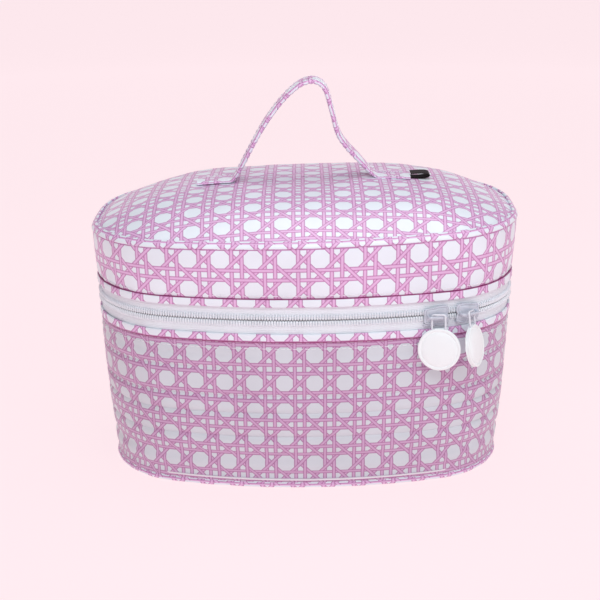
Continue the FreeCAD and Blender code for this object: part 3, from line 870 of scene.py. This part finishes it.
teeth = coil("body_coil", tooth, ZIP_Z - TOOTH_REACH - COIL_TALL * 0.52, low - COIL_TALL * 0.62,
             0.0, "root", ["body_zip_coil"])
coil("lid_coil", tooth_down, ZIP_Z + TOOTH_REACH + COIL_TALL * 0.52, high + COIL_TALL * 0.62,
     PITCH / 2, "lid", ["lid_zip_coil"], lid=True)
print("teeth in each row:", teeth)

# %% [markdown]
# ## The fabric hinge
# The zipper stops at the back corners. Between them a strip of canvas, with lining behind it, joins
# the lid to the body and bends when the lid opens. It is one piece of cloth, and its mesh rides on
# neither body: it stays where it is made.

# %% Hinge cloth
def hinge(name, depth_out, depth_in, low_z, high_z, finish, nodes):
    x = np.linspace(-back_x + 0.0004, back_x - 0.0004, 60)
    up = np.linspace(low_z, high_z, 26)
    front = np.stack(np.broadcast_arrays(x[None, :], depth_in, up[::-1, None]), -1)
    back = np.stack(np.broadcast_arrays(x[None, :], depth_out, up[:, None]), -1)
    points = np.concatenate([back, front])
    share = np.sin(np.pi * np.clip((points[..., 2] - low_z) / (high_z - low_z), 0, 1))
    points[..., 1] -= 0.0004 * share ** 2 * (1 + 0.4 * waves(points, 0.03, 61))
    ring = np.concatenate([up, up[::-1], up[:1]])
    place = np.stack(np.broadcast_arrays(x[None, :], ring[:, None]), -1)
    mesh = skin(name, settle(points), place, wrapped=(True, False), caps=True)
    piece = finish_mesh(name, mesh, finish, None, nodes)
    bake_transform(piece)
    return piece


hinge_low, hinge_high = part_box("body_hinge_panel")
hinge("hinge_cloth", hinge_high[1], hinge_low[1], RIM_Z, LID_Z, body_canvas,
      ["body_hinge_panel", "lid_hinge_panel"])
lining_low, lining_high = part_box("body_hinge_lining")
hinge("hinge_lining", lining_high[1] - 0.0001, lining_low[1], lining_low[2], LID_Z - 0.001, lining,
      ["body_hinge_lining", "lid_hinge_lining"])
print("hinge cloth made")

# %% [markdown]
# ## The strap handle
# The handle is a flat tube of canvas over webbing, folded down at both feet and sewn to the top.
# Its arch has taken a set: a lazy curve up on the left, a tight bend past the middle, and a dent on
# the right. A smooth line through a few points gives that set. The cross-section goes along the
# line and is thinner where the stitching runs. The flat ends belong to the lid and the arch to the
# handle's joint, but the one mesh rides on neither body: it stays where it is made.

# %% Handle strap
HANDLE_Z = joints["handle_swing"]["pos_m"][2]
STRAP_WIDE = 0.018
STRAP_THICK = 0.0032
ARCH = [(-31, 22.3), (-24.5, 33.3), (-16.5, 44.3), (-8, 53.3), (0, 58.9), (8, 59.6), (13.6, 55),
        (17.2, 41.3), (20.5, 27.3), (25.5, 19.3), (33, 11.3)]


def on_top(x, lift):
    """A point of the strap's line that lies on the dome."""
    return x, SEAM_Z + dome_height(np.abs(x) / HALF_WIDTH) + lift


def smooth_line(points, count):
    """A quadratic spline near the points, with evenly spaced stations."""
    points = np.asarray(points, float)
    middles = (points[1:] + points[:-1]) / 2
    t = np.linspace(0, 1, 24, endpoint=False)[:, None]
    line = [points[:1]]
    start = points[0]
    for control, middle in zip(points[1:-1], list(middles[1:-1]) + [points[-1]]):
        line.append((1 - t) ** 2 * start + 2 * t * (1 - t) * control + t ** 2 * middle)
        start = middle
    line = np.concatenate(line + [points[-1:]])
    line = line[np.concatenate([[True], np.linalg.norm(np.diff(line, axis=0), axis=1) > 1e-7])]
    done = lengths(line)
    even = np.linspace(0, done[-1], count)
    return np.stack([np.interp(even, done, line[:, k]) for k in range(line.shape[1])], -1)


END_SHARE = 0.62
flat_lift = STRAP_THICK / 2 * END_SHARE + 0.0002
flat_left = [on_top(x / 1000, flat_lift) for x in (-66.6, -60, -54, -48, -43.5)]
flat_right = [on_top(x / 1000, flat_lift) for x in (44, 49, 55, 61, 66)]
arch = [(x / 1000, HANDLE_Z + z / 1000) for x, z in ARCH]
strap_line = smooth_line(flat_left + arch + flat_right, 260)
strap_length = lengths(strap_line)[-1]


def strap_section(count=20):
    """Half-way round the strap: across, and out from its middle, both in metres."""
    half = STRAP_WIDE / 2
    across = np.sin(np.linspace(-1, 1, count) * math.pi / 2) * half
    edge = np.sqrt(np.clip(1 - (np.abs(across) / half) ** 6, 0, 1))
    out = STRAP_THICK / 2 * edge
    out = out - 0.00045 * ridge(np.abs(across) - 0.0066, 0.0007)
    return across, np.maximum(out, 0.00012)


def ribbon(name, line, section, finish, body, nodes, roughness=0.00015, seed=71, start=(0, 0),
           fullness=None):
    """A flat closed band along a line in the upright plane through the middle."""
    across, out = section
    ring_y = np.concatenate([across, across[::-1]])
    ring_out = np.concatenate([out, -out[::-1]])
    way = np.gradient(line, axis=0)
    way /= np.linalg.norm(way, axis=1)[:, None]
    up = np.stack([-way[:, 1], way[:, 0]], -1)
    thin = np.ones(len(line)) if fullness is None else fullness
    rows = line[None] + up[None] * ring_out[:, None, None] * thin[None, :, None]
    points = np.stack([rows[..., 0], ring_y[:, None] + 0 * rows[..., 0], rows[..., 1]], -1)
    push = roughness * waves(points, 0.012, seed) + 2 * roughness * waves(points, 0.05, seed + 1)
    side = np.sign(ring_out)[:, None] * (np.abs(ring_y)[:, None] < 0.8 * STRAP_WIDE / 2)
    points[..., 0] += push * up[None, :, 0] * side
    points[..., 2] += push * up[None, :, 1] * side
    around_ring = lengths(np.stack([ring_y, ring_out], -1))
    around_ring = np.append(around_ring, around_ring[-1] + 0.0002)
    run = lengths(line)
    place = np.stack(np.broadcast_arrays(run[None, :] + start[0],
                                         around_ring[:, None] + start[1]), -1)
    mesh = skin(name, settle(points), place, wrapped=(True, False), caps=True)
    return finish_mesh(name, mesh, finish, body, nodes)


def step_up(x, start, end):
    t = np.clip((x - start) / (end - start), 0, 1)
    return t * t * (3 - 2 * t)


strap_run = lengths(strap_line)
strap_fullness = END_SHARE + (1 - END_SHARE) * np.minimum(
    step_up(strap_run, 0.018, 0.036), step_up(strap_length - strap_run, 0.018, 0.036))
strap = ribbon("handle_strap", strap_line, strap_section(), strap_canvas, None,
               ["handle_sleeve", "left_handle_end", "right_handle_end", "handle_core"],
               start=(0, -0.0062), fullness=strap_fullness)
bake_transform(strap)
print("strap is", round(strap_length, 4), "m long")

# %% Handle stitching
strap_way = np.gradient(strap_line, axis=0)
strap_way /= np.linalg.norm(strap_way, axis=1)[:, None]
sewn_at = np.arange(0.003, strap_length - 0.002, 0.0034)
spots = np.stack([np.interp(sewn_at, strap_run, strap_line[:, k]) for k in (0, 1)], -1)
ways = np.stack([np.interp(sewn_at, strap_run, strap_way[:, k]) for k in (0, 1)], -1)
along = np.stack([ways[:, 0], 0 * ways[:, 0], ways[:, 1]], -1)
above = np.stack([-ways[:, 1], 0 * ways[:, 0], ways[:, 0]], -1)
across = np.tile([0.0, 1.0, 0.0], (len(spots), 1))
all_points, all_faces = [], []
for side in (-1, 1):
    for face in (-1, 1):
        thin = np.interp(sewn_at, strap_run, strap_fullness)[:, None]
        lift = face * (STRAP_THICK / 2 - 0.00035) * thin
        middle = np.stack([spots[:, 0], 0 * spots[:, 0] + side * 0.0066, spots[:, 1]], -1)
        places = middle + above * lift
        points, faces = scatter(stitch, settle(places), along, across * -face, above * face)
        offset = sum(len(part) for part in all_points)
        all_points.append(points)
        all_faces += [[corner + offset for corner in face_] for face_ in faces]
mesh = solid("handle_stitching", np.concatenate(all_points), all_faces)
seam = finish_mesh("handle_stitching", mesh, thread_white, None)
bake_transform(seam)

# %% [markdown]
# ## The leather tab
# A short tab of dark leather is folded over and caught under the right end of the handle. The fold
# stands open, so it reads as two leaves with a rounded end.

# %% Leather tab
def tab_point(x, lift):
    return on_top(x / 1000, lift / 1000)


TAB = [(64, 0.55), (68, 0.55), (72, 0.8), (76, 1.6), (78.6, 2.9), (77.2, 4.3), (73, 4.1), (69, 3.6),
       (66.4, 3.3)]
tab_line = smooth_line([tab_point(*p) for p in TAB], 60)
half = 0.0055
across = np.sin(np.linspace(-1, 1, 12) * math.pi / 2) * half
leaf = (across, 0.00048 * np.clip(1 - (np.abs(across) / half) ** 8, 0.1, 1) ** 0.5)
ribbon("tab", tab_line, leaf, dark_leather, "lid", ["leather_tab"], roughness=0.00006, seed=75)
print("handle and tab done")

# %% [markdown]
# ## Sliders and pulls
# A slider is cast: a front plate with two shoulders where the rows of teeth enter and a nose where
# they leave together, a matching plate behind the tape, and a bridge that the pull hangs on. Each
# one is drawn flat, in the slider's own directions, and then laid on its arc of the zipper.

# %% Slider plates
def pillow(outline_points, levels):
    """A plate from a drawn outline round the origin: each level is (how far in, how far out)."""
    outline_points = np.asarray(outline_points, float)
    count = len(outline_points)
    reach = np.linalg.norm(outline_points, axis=1).mean()
    points = [np.column_stack([outline_points * (1 - shrink / reach), np.full(count, out)])
              for shrink, out in levels]
    faces = []
    for row in range(len(levels) - 1):
        for k in range(count):
            following = (k + 1) % count
            faces.append([row * count + k, row * count + following,
                          (row + 1) * count + following, (row + 1) * count + k])
    faces.append(list(range(count))[::-1])
    faces.append([(len(levels) - 1) * count + k for k in range(count)])
    return np.concatenate(points), faces


def joined(*templates):
    points, faces, offset = [], [], 0
    for some_points, some_faces in templates:
        points.append(some_points)
        faces += [[corner + offset for corner in face] for face in some_faces]
        offset += len(some_points)
    return np.concatenate(points), faces


def rounded(corners, radius, steps=5):
    """A closed outline with its corners rounded, counter-clockwise."""
    corners = np.asarray(corners, float)
    points = []
    for before, corner, after in zip(np.roll(corners, 1, 0), corners, np.roll(corners, -1, 0)):
        back, on = before - corner, after - corner
        reach = min(radius, np.linalg.norm(back) * 0.45, np.linalg.norm(on) * 0.45)
        first = corner + back / np.linalg.norm(back) * reach
        last = corner + on / np.linalg.norm(on) * reach
        for t in np.linspace(0, 1, steps + 1):
            points.append((1 - t) ** 2 * first + 2 * t * (1 - t) * corner + t ** 2 * last)
    return np.array(points)


MM = 0.001
BAR_STAND = 0.0034
plate_corners = np.array([(-7.5, -4.4), (-2.0, -5.0), (2.2, -6.0), (7.0, -5.6), (7.5, -1.6),
                          (6.4, 0), (7.5, 1.6), (7.0, 5.6), (2.2, 6.0), (-2.0, 5.0), (-7.5, 4.4)]) * MM
plate = pillow(rounded(plate_corners, 1.6 * MM),
               np.array([(0.3, -1.0), (0.0, -0.8), (0.0, -0.25), (0.12, -0.05), (0.35, 0.06),
                         (0.75, 0.08),
                         (1.0, -0.28), (1.35, -0.34), (1.65, -0.05), (2.6, 0.2), (4.2, 0.28),
                         (5.6, 0.3)]) * MM)
back_corners = plate_corners * np.array([1, 0.82])
back_plate = pillow(rounded(back_corners, 1.4 * MM),
                    np.array([(0.3, -4.98), (0, -4.8), (0, -4.2), (0.3, -4.0)]) * MM)
web = pillow(rounded(np.array([(-4, -0.3), (4, -0.3), (4, 0.3), (-4, 0.3)]) * MM, 0.3 * MM),
             np.array([(0.0, -4.1), (0.0, -0.9)]) * MM)
flange_corners = np.array([(-7.3, -5.9), (7.3, -5.9), (7.3, -4.7), (-7.3, -4.7)]) * MM
flange = pillow(rounded(flange_corners, 0.5 * MM),
                np.array([(0.1, -2.55), (0.0, -2.4), (0.0, -0.9)]) * MM)
bridge_line = smooth_line(np.array([(-5.25, 0, -0.2), (-5.2, 0, 1.6), (-5.0, 0, 3.2),
                                    (-3.6, 0, 3.45), (0, 0, 3.4), (3.6, 0, 3.45),
                                    (5.0, 0, 3.2), (5.2, 0, 1.6), (5.25, 0, -0.2)]) * MM, 44)


def strap_like(line, wide, thick, sides=14):
    """A bar of oval section along a line in the along-out plane."""
    way = np.gradient(line, axis=0)
    way /= np.linalg.norm(way, axis=1)[:, None]
    normal = np.stack([-way[:, 2], 0 * way[:, 0], way[:, 0]], -1)
    turns = np.linspace(0, 2 * math.pi, sides, endpoint=False)
    run = lengths(line)
    flare = 1 + 0.7 * np.exp(-np.minimum(run, run[-1] - run) / (0.6 * MM))
    points = (line[:, None] + normal[:, None] * (thick * np.sin(turns))[None, :, None]
              + (np.array([0, 1.0, 0]) * (wide * np.cos(turns))[None, :, None]
                 * flare[:, None, None]))
    faces = [[r * sides + k, r * sides + (k + 1) % sides, (r + 1) * sides + (k + 1) % sides,
              (r + 1) * sides + k] for r in range(len(line) - 1) for k in range(sides)]
    faces += [list(range(sides))[::-1], [(len(line) - 1) * sides + k for k in range(sides)]]
    return points.reshape(-1, 3), faces


bridge = strap_like(bridge_line, 0.95 * MM, 0.7 * MM)


def on_track(side, points):
    """Lay (along, up, out of the plate) on the slider's own arc of the zipper."""
    centre = np.array(joints[side + "_slider_travel"]["pos_m"][:2])
    bar_at = np.array(joints[side + "_pull_swing"]["pos_m"])
    reach = np.linalg.norm(bar_at[:2] - centre)
    angle = bearing(centre, bar_at) + points[:, 0] / (reach - 0.0067)
    out = reach - BAR_STAND + points[:, 2]
    flat = centre + np.stack([out * np.cos(angle), out * np.sin(angle)], -1)
    return np.column_stack([flat, bar_at[2] + points[:, 1]])


for side, facing in (("left", 1), ("right", -1)):
    for name, (points, faces), nodes in (
            ("slider_casting", joined(plate, back_plate, web, flange), ["slider_body"]),
            ("slider_bridge", bridge, ["slider_crown"])):
        laid = on_track(side, points * np.array([facing, 1, 1]))
        mesh = solid(side + "_" + name, laid, faces, 40)
        # The slider casting's finish is white enamel darkened by painted shade.
        finish_mesh(side + "_" + name, mesh, shaded_casting, side + "_slider",
                    [side + "_" + node for node in nodes])

# %% [markdown]
# The pull is a wire loop with a padded leather disc sewn over its lower end. The disc is turned like
# a wooden plate: a profile spun round its middle, with a pressed groove inside the rim. Both discs
# have swung round a little on their loops, each its own way.

# %% Pulls
WIRE = 0.0006
LOOP_HALF, LOOP_TOP, LOOP_LOW, LOOP_BEND = 0.0039, 0.0017, -0.0096, 0.0015
DISC_DROP = 0.0188
HANGS = {"left": (-24, 7), "right": (36, 14)}


def wire_ring(corners, radius, bend, sides=12):
    line = rounded(corners, bend, 8)
    line = line[np.linalg.norm(line - np.roll(line, 1, 0), axis=1) > 1e-6]
    way = np.roll(line, -1, 0) - np.roll(line, 1, 0)
    way /= np.linalg.norm(way, axis=1)[:, None]
    normal = np.stack([-way[:, 1], way[:, 0]], -1)
    turns = np.linspace(0, 2 * math.pi, sides, endpoint=False)
    flat = line[:, None] + normal[:, None] * (radius * np.cos(turns))[None, :, None]
    depth = np.broadcast_to(radius * np.sin(turns), flat.shape[:2])
    points = np.stack([flat[..., 0], depth, flat[..., 1]], -1)
    count = len(line)
    faces = [[r * sides + k, r * sides + (k + 1) % sides,
              ((r + 1) % count) * sides + (k + 1) % sides, ((r + 1) % count) * sides + k]
             for r in range(count) for k in range(sides)]
    return points.reshape(-1, 3), faces


loop = wire_ring([(-LOOP_HALF, LOOP_LOW), (LOOP_HALF, LOOP_LOW), (LOOP_HALF, LOOP_TOP),
                  (-LOOP_HALF, LOOP_TOP)], WIRE, LOOP_BEND)


def turned(profile, sides=96, soft=0.0, seed=81):
    """Spin a profile of (radius, depth) round the disc's middle; its ends are on the axis."""
    profile = np.asarray(profile, float)
    turns = np.linspace(0, 2 * math.pi, sides, endpoint=False)
    radius, depth = profile[:, :1], profile[:, 1:]
    points = np.stack([radius * np.cos(turns), depth + 0 * turns, radius * np.sin(turns)], -1)
    points[..., 1] += soft * waves(points * np.array([1, 0, 1]), 0.006, seed) * np.sign(depth)
    points[..., 2] -= DISC_DROP
    faces = [[r * sides + k, r * sides + (k + 1) % sides, (r + 1) * sides + (k + 1) % sides,
              (r + 1) * sides + k] for r in range(len(profile) - 1) for k in range(sides)]
    faces += [list(range(sides))[::-1], [(len(profile) - 1) * sides + k for k in range(sides)]]
    return points.reshape(-1, 3), faces


def leather_side(sign):
    """One padded face: out from the core, round the rim, into the groove and over the pad."""
    profile = [(0.2, 0.5), (6, 0.5), (12.0, 0.5), (12.4, 0.62), (12.5, 0.85), (12.35, 1.15),
               (12.0, 1.35), (11.5, 1.45), (11.1, 1.32), (10.85, 1.08), (10.6, 1.0), (10.35, 1.1),
               (10.0, 1.4), (9.2, 1.7), (7.6, 1.92), (5.5, 2.05), (3.0, 2.12), (0.2, 2.14)]
    return turned(np.array(profile) * MM * np.array([1, sign]), soft=0.00011, seed=81 + sign)


core_profile = [(0.2, -0.5), (11.2, -0.5), (11.95, -0.42), (12.12, -0.2), (12.15, 0), (12.12, 0.2),
                (11.95, 0.42), (11.2, 0.5), (0.2, 0.5)]
core = turned(np.array(core_profile) * MM)


def hung(side, points):
    """Turn a pull about its length, lean it off the wall and hang it on its bridge."""
    joint = joints[side + "_pull_swing"]
    tangent = -np.array(joint["axis"])
    turn, lean = (math.radians(angle) for angle in HANGS[side])
    heading = math.atan2(tangent[1], tangent[0]) + turn
    cos, sin = math.cos(heading), math.sin(heading)
    spun = points @ np.array([[cos, sin, 0], [-sin, cos, 0], [0, 0, 1]])
    axis = -tangent
    cos, sin = math.cos(lean), math.sin(lean)
    leaned = (spun * cos + np.cross(axis, spun) * sin + np.outer(spun @ axis, axis) * (1 - cos))
    return leaned + np.array(joint["pos_m"])


for side in ("left", "right"):
    pieces = [("pull_wire", loop, enamel, "pull_loop"),
              ("pull_front", leather_side(-1), leather, "pull_front_leather"),
              ("pull_edge", core, leather, "pull_core"),
              ("pull_back", leather_side(1), leather, "pull_back_leather")]
    for name, (points, faces), finish, node in pieces:
        mesh = solid(side + "_" + name, hung(side, points), faces, 40)
        finish_mesh(side + "_" + name, mesh, finish, side + "_pull", [side + "_" + node])
print("sliders and pulls done")

# %% [markdown]
# ## Inside
# When the lid opens, the inside shows: smooth wipe-clean lining over the foam, bindings over the raw
# edges and an elastic-topped slip pocket on the back wall. The lining is sewn only at its edges, so
# it lies in slow, shallow waves. The pocket's top is gathered by its elastic.

# %% Linings
FOAM_IN = CANVAS + 0.004


def slack(bottom, top, amount, seed):
    """Lining lies in shallow waves between the seams that hold it."""
    def swell(points, s, z, section):
        share = np.sin(np.pi * np.clip((z - bottom) / (top - bottom), 0, 1)) ** 0.5
        inner = section[:, :1] > section_middle(section, z[:, :1])
        return -amount * share * (0.6 + 0.4 * waves(points, 0.04, seed)) * inner
    return swell


def lining_wall(name, inset_at, low, high, seed, body, nodes, lid=False):
    down = np.linspace(high, low, 22)
    section = [(inset_at(z) + FOAM_IN, z) for z in np.linspace(low, high, 8)]
    section += [(inset_at(z) + WALL, z) for z in down]
    mesh = carried(name, section, around(0.004), slack(low, high, 0.0006, seed), lid=lid)
    return finish_mesh(name, mesh, lining, body, nodes)


wall_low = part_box("body_wall_lining")[0][2]
lining_wall("body_lining", body_inset, wall_low, RIM_Z, 91, "root", ["body_wall_lining"])
lining_wall("lid_side_lining", band_inset, LID_Z, SEAM_Z, 92, "lid", ["lid_band_lining"], lid=True)


def lying(scales, low, high, top, seed):
    """A floor panel as a grid of shrunk outlines, slightly quilted on its top."""
    point, _ = outline(ROUND[:-1:2])
    inset_share = 1 - (BASE_IN + CANVAS) / HALF_WIDTH
    flat = scales[:, None, None] * inset_share * point[None]
    z = np.full(flat.shape[:2], high)
    upper = np.concatenate([flat, z[..., None]], -1)
    edge = np.clip((1 - scales) / 0.1, 0, 1)[:, None]
    upper[..., 2] += top * edge * (0.5 + 0.5 * waves(upper, 0.05, seed))
    lower = upper[::-1].copy()
    lower[..., 2] = low
    return np.concatenate([upper, lower])


rings = 1 - np.linspace(0, 1, 24) * 0.985
low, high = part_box("base_lining")[0][2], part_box("base_lining")[1][2]
points = lying(rings, low, high, 0.0008, 93)
cloth = np.concatenate([points[..., :2], points[:1, :, :2]])
cloth = np.concatenate([cloth, cloth[:, :1]], 1)
mesh = skin("floor_lining", points, cloth, wrapped=(True, True))
floor_lining = finish_mesh("floor_lining", mesh, lining, "root", ["base_lining"])
floor_rim, _ = outline(ROUND[:-1])
floor_rim = floor_rim * (1 - (BASE_IN + CANVAS) / HALF_WIDTH)
next_rim = np.roll(floor_rim, -1, 0)
floor_area = abs(np.sum(floor_rim[:, 0] * next_rim[:, 1] - floor_rim[:, 1] * next_rim[:, 0])) / 2

points = dome_grid(scales, ROUND[:-1:2])
inner_scale = (1 - WALL / RISE) ** (1 / DOME_FULLNESS)
points[..., :2] *= inner_scale
points[..., 2] -= FOAM_IN
ceiling = points.copy()[::-1]
ceiling[..., 2] -= WALL - FOAM_IN
free = np.clip((1 - scales[::-1]) / 0.1, 0, 1)[:, None]
ceiling[..., 2] -= 0.0005 * (0.5 + 0.5 * waves(ceiling, 0.05, 94)) * free
points = np.concatenate([points, ceiling])
cloth = np.concatenate([points[..., :2], points[:1, :, :2]])
cloth = np.concatenate([cloth, cloth[:, :1]], 1)
mesh = skin("lid_lining", settle(points), cloth, wrapped=(True, True))
finish_mesh("lid_lining", mesh, lining, "lid", ["top_panel_lining"])
print("linings done")

# %% Slip pocket
pocket_low, pocket_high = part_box("slip_pocket")
elastic_low, elastic_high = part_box("slip_pocket_elastic")
POCKET_HALF = pocket_high[0]
CLOTH = 0.0007


def on_back(name, low, high, thick, gather, seed, finish, node, rows=26):
    """A strip that lies along the inner back wall between two heights."""
    x = np.linspace(-POCKET_HALF, POCKET_HALF, 130)
    s = HALF_ROUND - x
    z = np.linspace(low, high, rows)
    base = np.array([body_inset(height) + WALL + 0.0001 for height in z])[:, None]
    place = wrap(s[None], base, z[:, None])
    near_top = np.clip((z - low) / (high - low), 0, 1)[:, None]
    folds = gather * (0.5 + 0.5 * np.sin(x / 0.0016 + 1.3 * np.sin(x / 0.021)))[None] * near_top
    middling = (np.cos(np.pi * x / (2 * POCKET_HALF)) ** 0.5)[None]
    belly = 0.0016 * np.sin(np.pi * near_top * 0.75) * middling
    belly = belly * (gather > 0) + 0.0002 * waves(place, 0.02, seed)
    front = wrap(s[None], base + thick + folds + belly, z[:, None])
    back = wrap(s[None], base + folds + belly * (gather > 0), z[:, None])
    points = np.concatenate([front, back[::-1]])
    up = np.concatenate([z, z[::-1], z[:1]])
    flat = np.stack(np.broadcast_arrays(x[None], up[:, None]), -1)
    mesh = skin(name, points, flat, wrapped=(True, False), caps=True)
    return finish_mesh(name, mesh, finish, "root", [node])


pocket = on_back("pocket", pocket_low[2], pocket_high[2], CLOTH, 0.0007, 95, lining, "slip_pocket")
on_back("pocket_elastic", elastic_low[2], elastic_high[2], 0.0013, 0.0, 96, binding,
        "slip_pocket_elastic", rows=8)

# %% [markdown]
# ## What the engineering model already has right
# Foam, board, bindings and the metal end stops keep their own shapes. The ones in the lid sink with
# it, so they get a copy of their mesh that has settled. The base panel gets a copy too, one that
# knows its place on the cloth, so that the print shows on it. All of them get a finish.

# %% Finish the rest
KEPT = {
    "base_board": board, "base_foam": foam,
    "body_wall_foam": foam, "base_seam_binding": binding, "body_rim_binding": binding,
    "zip_end_stops": enamel,
}
SETTLED = {
    "lid_band_foam": foam, "top_panel_foam": foam, "lid_rim_binding": binding,
    "lid_seam_binding": binding, "left_handle_patch": board, "right_handle_patch": board,
}
for name, finish in KEPT.items():
    node = frame["nodes"][name]
    node.data.materials.clear()
    node.data.materials.append(finish)
for name, finish in SETTLED.items():
    node = frame["nodes"][name]
    mesh = node.data.copy()
    mesh.transform(node.matrix_world)
    places = np.empty(len(mesh.vertices) * 3)
    mesh.vertices.foreach_get("co", places)
    mesh.vertices.foreach_set("co", settle(places.reshape(-1, 3)).ravel())
    mesh.materials.clear()
    mesh.set_sharp_from_angle(angle=math.radians(40))
    finish_mesh(name + "_settled", mesh, finish, "lid", [name])
panel = frame["nodes"]["base_outer_panel"]
mesh = panel.data.copy()
mesh.transform(panel.matrix_world)
layer = mesh.uv_layers.get("cloth") or mesh.uv_layers.new(name="cloth")
for corner, place in zip(mesh.loops, layer.data):
    place.uv = mesh.vertices[corner.vertex_index].co[:2]
mesh.materials.clear()
finish_mesh("base_panel", mesh, top_canvas, "root", ["base_outer_panel"])
shown = [node.name for node in frame["nodes"].values() if not node.hide_render]
print("model pieces still shown:", shown)

# %% [markdown]
# ## The studio
# The case stands on pale paper that curves up into a low wall all round, under a key lamp above the
# front, a wide warm one overhead and a dimmer one at the right. Bright, even light keeps the whites
# clean.

# %% Floor, lights and camera
BACKDROP = shade_of(255, 234, 239)
studio = Bench("studio paper")
soft = studio.noise(studio.body_place(), 0.6, 1.0)
PAPER = tuple(channel * 0.10 for channel in BACKDROP[:3]) + (1.0,)
studio.shade(Base_Color=PAPER, Roughness=soft * 0.1 + 0.85, Emission_Color=BACKDROP)
studio.shader.inputs["Emission Strength"].default_value = 0.92
FLAT_REACH, SWEEP, PAPER_TOP = 1.8, 0.6, 0.75
turns = np.linspace(0, math.pi / 2, 16)
paper = [(0.02, 0.0), (FLAT_REACH, 0.0)]
paper += [(FLAT_REACH + SWEEP * math.sin(t), SWEEP * (1 - math.cos(t))) for t in turns[1:]]
paper.append((FLAT_REACH + SWEEP, PAPER_TOP))
spokes = np.linspace(0, 2 * math.pi, 97)[:-1]
points = np.array([[(r * math.cos(t), r * math.sin(t), z) for t in spokes] for r, z in paper])
cloth = np.concatenate([points[..., :2], points[:, :1, :2]], 1)
floor_mesh = skin("paper_sweep", points, cloth, wrapped=(False, True))
floor = bpy.data.objects.new("paper_sweep", floor_mesh)
bpy.context.scene.collection.objects.link(floor)
floor_mesh.materials.append(studio.material)

world = bpy.data.worlds.new("studio")
world.use_nodes = True
world.node_tree.nodes["Background"].inputs[0].default_value = shade_of(243, 248, 255)
world.node_tree.nodes["Background"].inputs[1].default_value = 0.22
bpy.context.scene.world = world


COOL, WARM = (0.90, 0.96, 1.0), (1.0, 0.95, 0.97)


def lamp(name, place, aim, size, watts, colour=COOL):
    light = bpy.data.lights.new(name, "AREA")
    light.shape = "RECTANGLE"
    light.size, light.size_y = size
    light.energy = watts
    light.color = colour
    made = bpy.data.objects.new(name, light)
    bpy.context.scene.collection.objects.link(made)
    made.location = place
    made.rotation_euler = (Vector(aim) - Vector(place)).to_track_quat("-Z", "Y").to_euler()


lamp("key lamp", (0.06, -0.46, 0.50), (0, -0.05, 0.14), (0.5, 0.2), 1.35)
lamp("top lamp", (0.1, 0.1, 1.2), (0, 0, 0.1), (1.0, 0.8), 5.8, WARM)
lamp("right lamp", (1.2, -0.7, 0.7), (0, 0, 0.1), (0.8, 0.8), 1.3)

camera_data = bpy.data.cameras.new("camera")
camera = bpy.data.objects.new("camera", camera_data)
bpy.context.scene.collection.objects.link(camera)
elevation = math.radians(19.4)
aim = Vector((0, 0, 0.078))
camera.location = aim + 0.8 * Vector((0, -math.cos(elevation), math.sin(elevation)))
camera.rotation_euler = (math.pi / 2 - elevation, 0, 0)
camera.rotation_euler.rotate_axis("Z", math.radians(-0.47))
camera_data.lens = 73.56
camera_data.shift_x = -0.0088
camera_data.shift_y = 0.0367
bpy.context.scene.camera = camera
bpy.context.scene.view_settings.view_transform = "Standard"
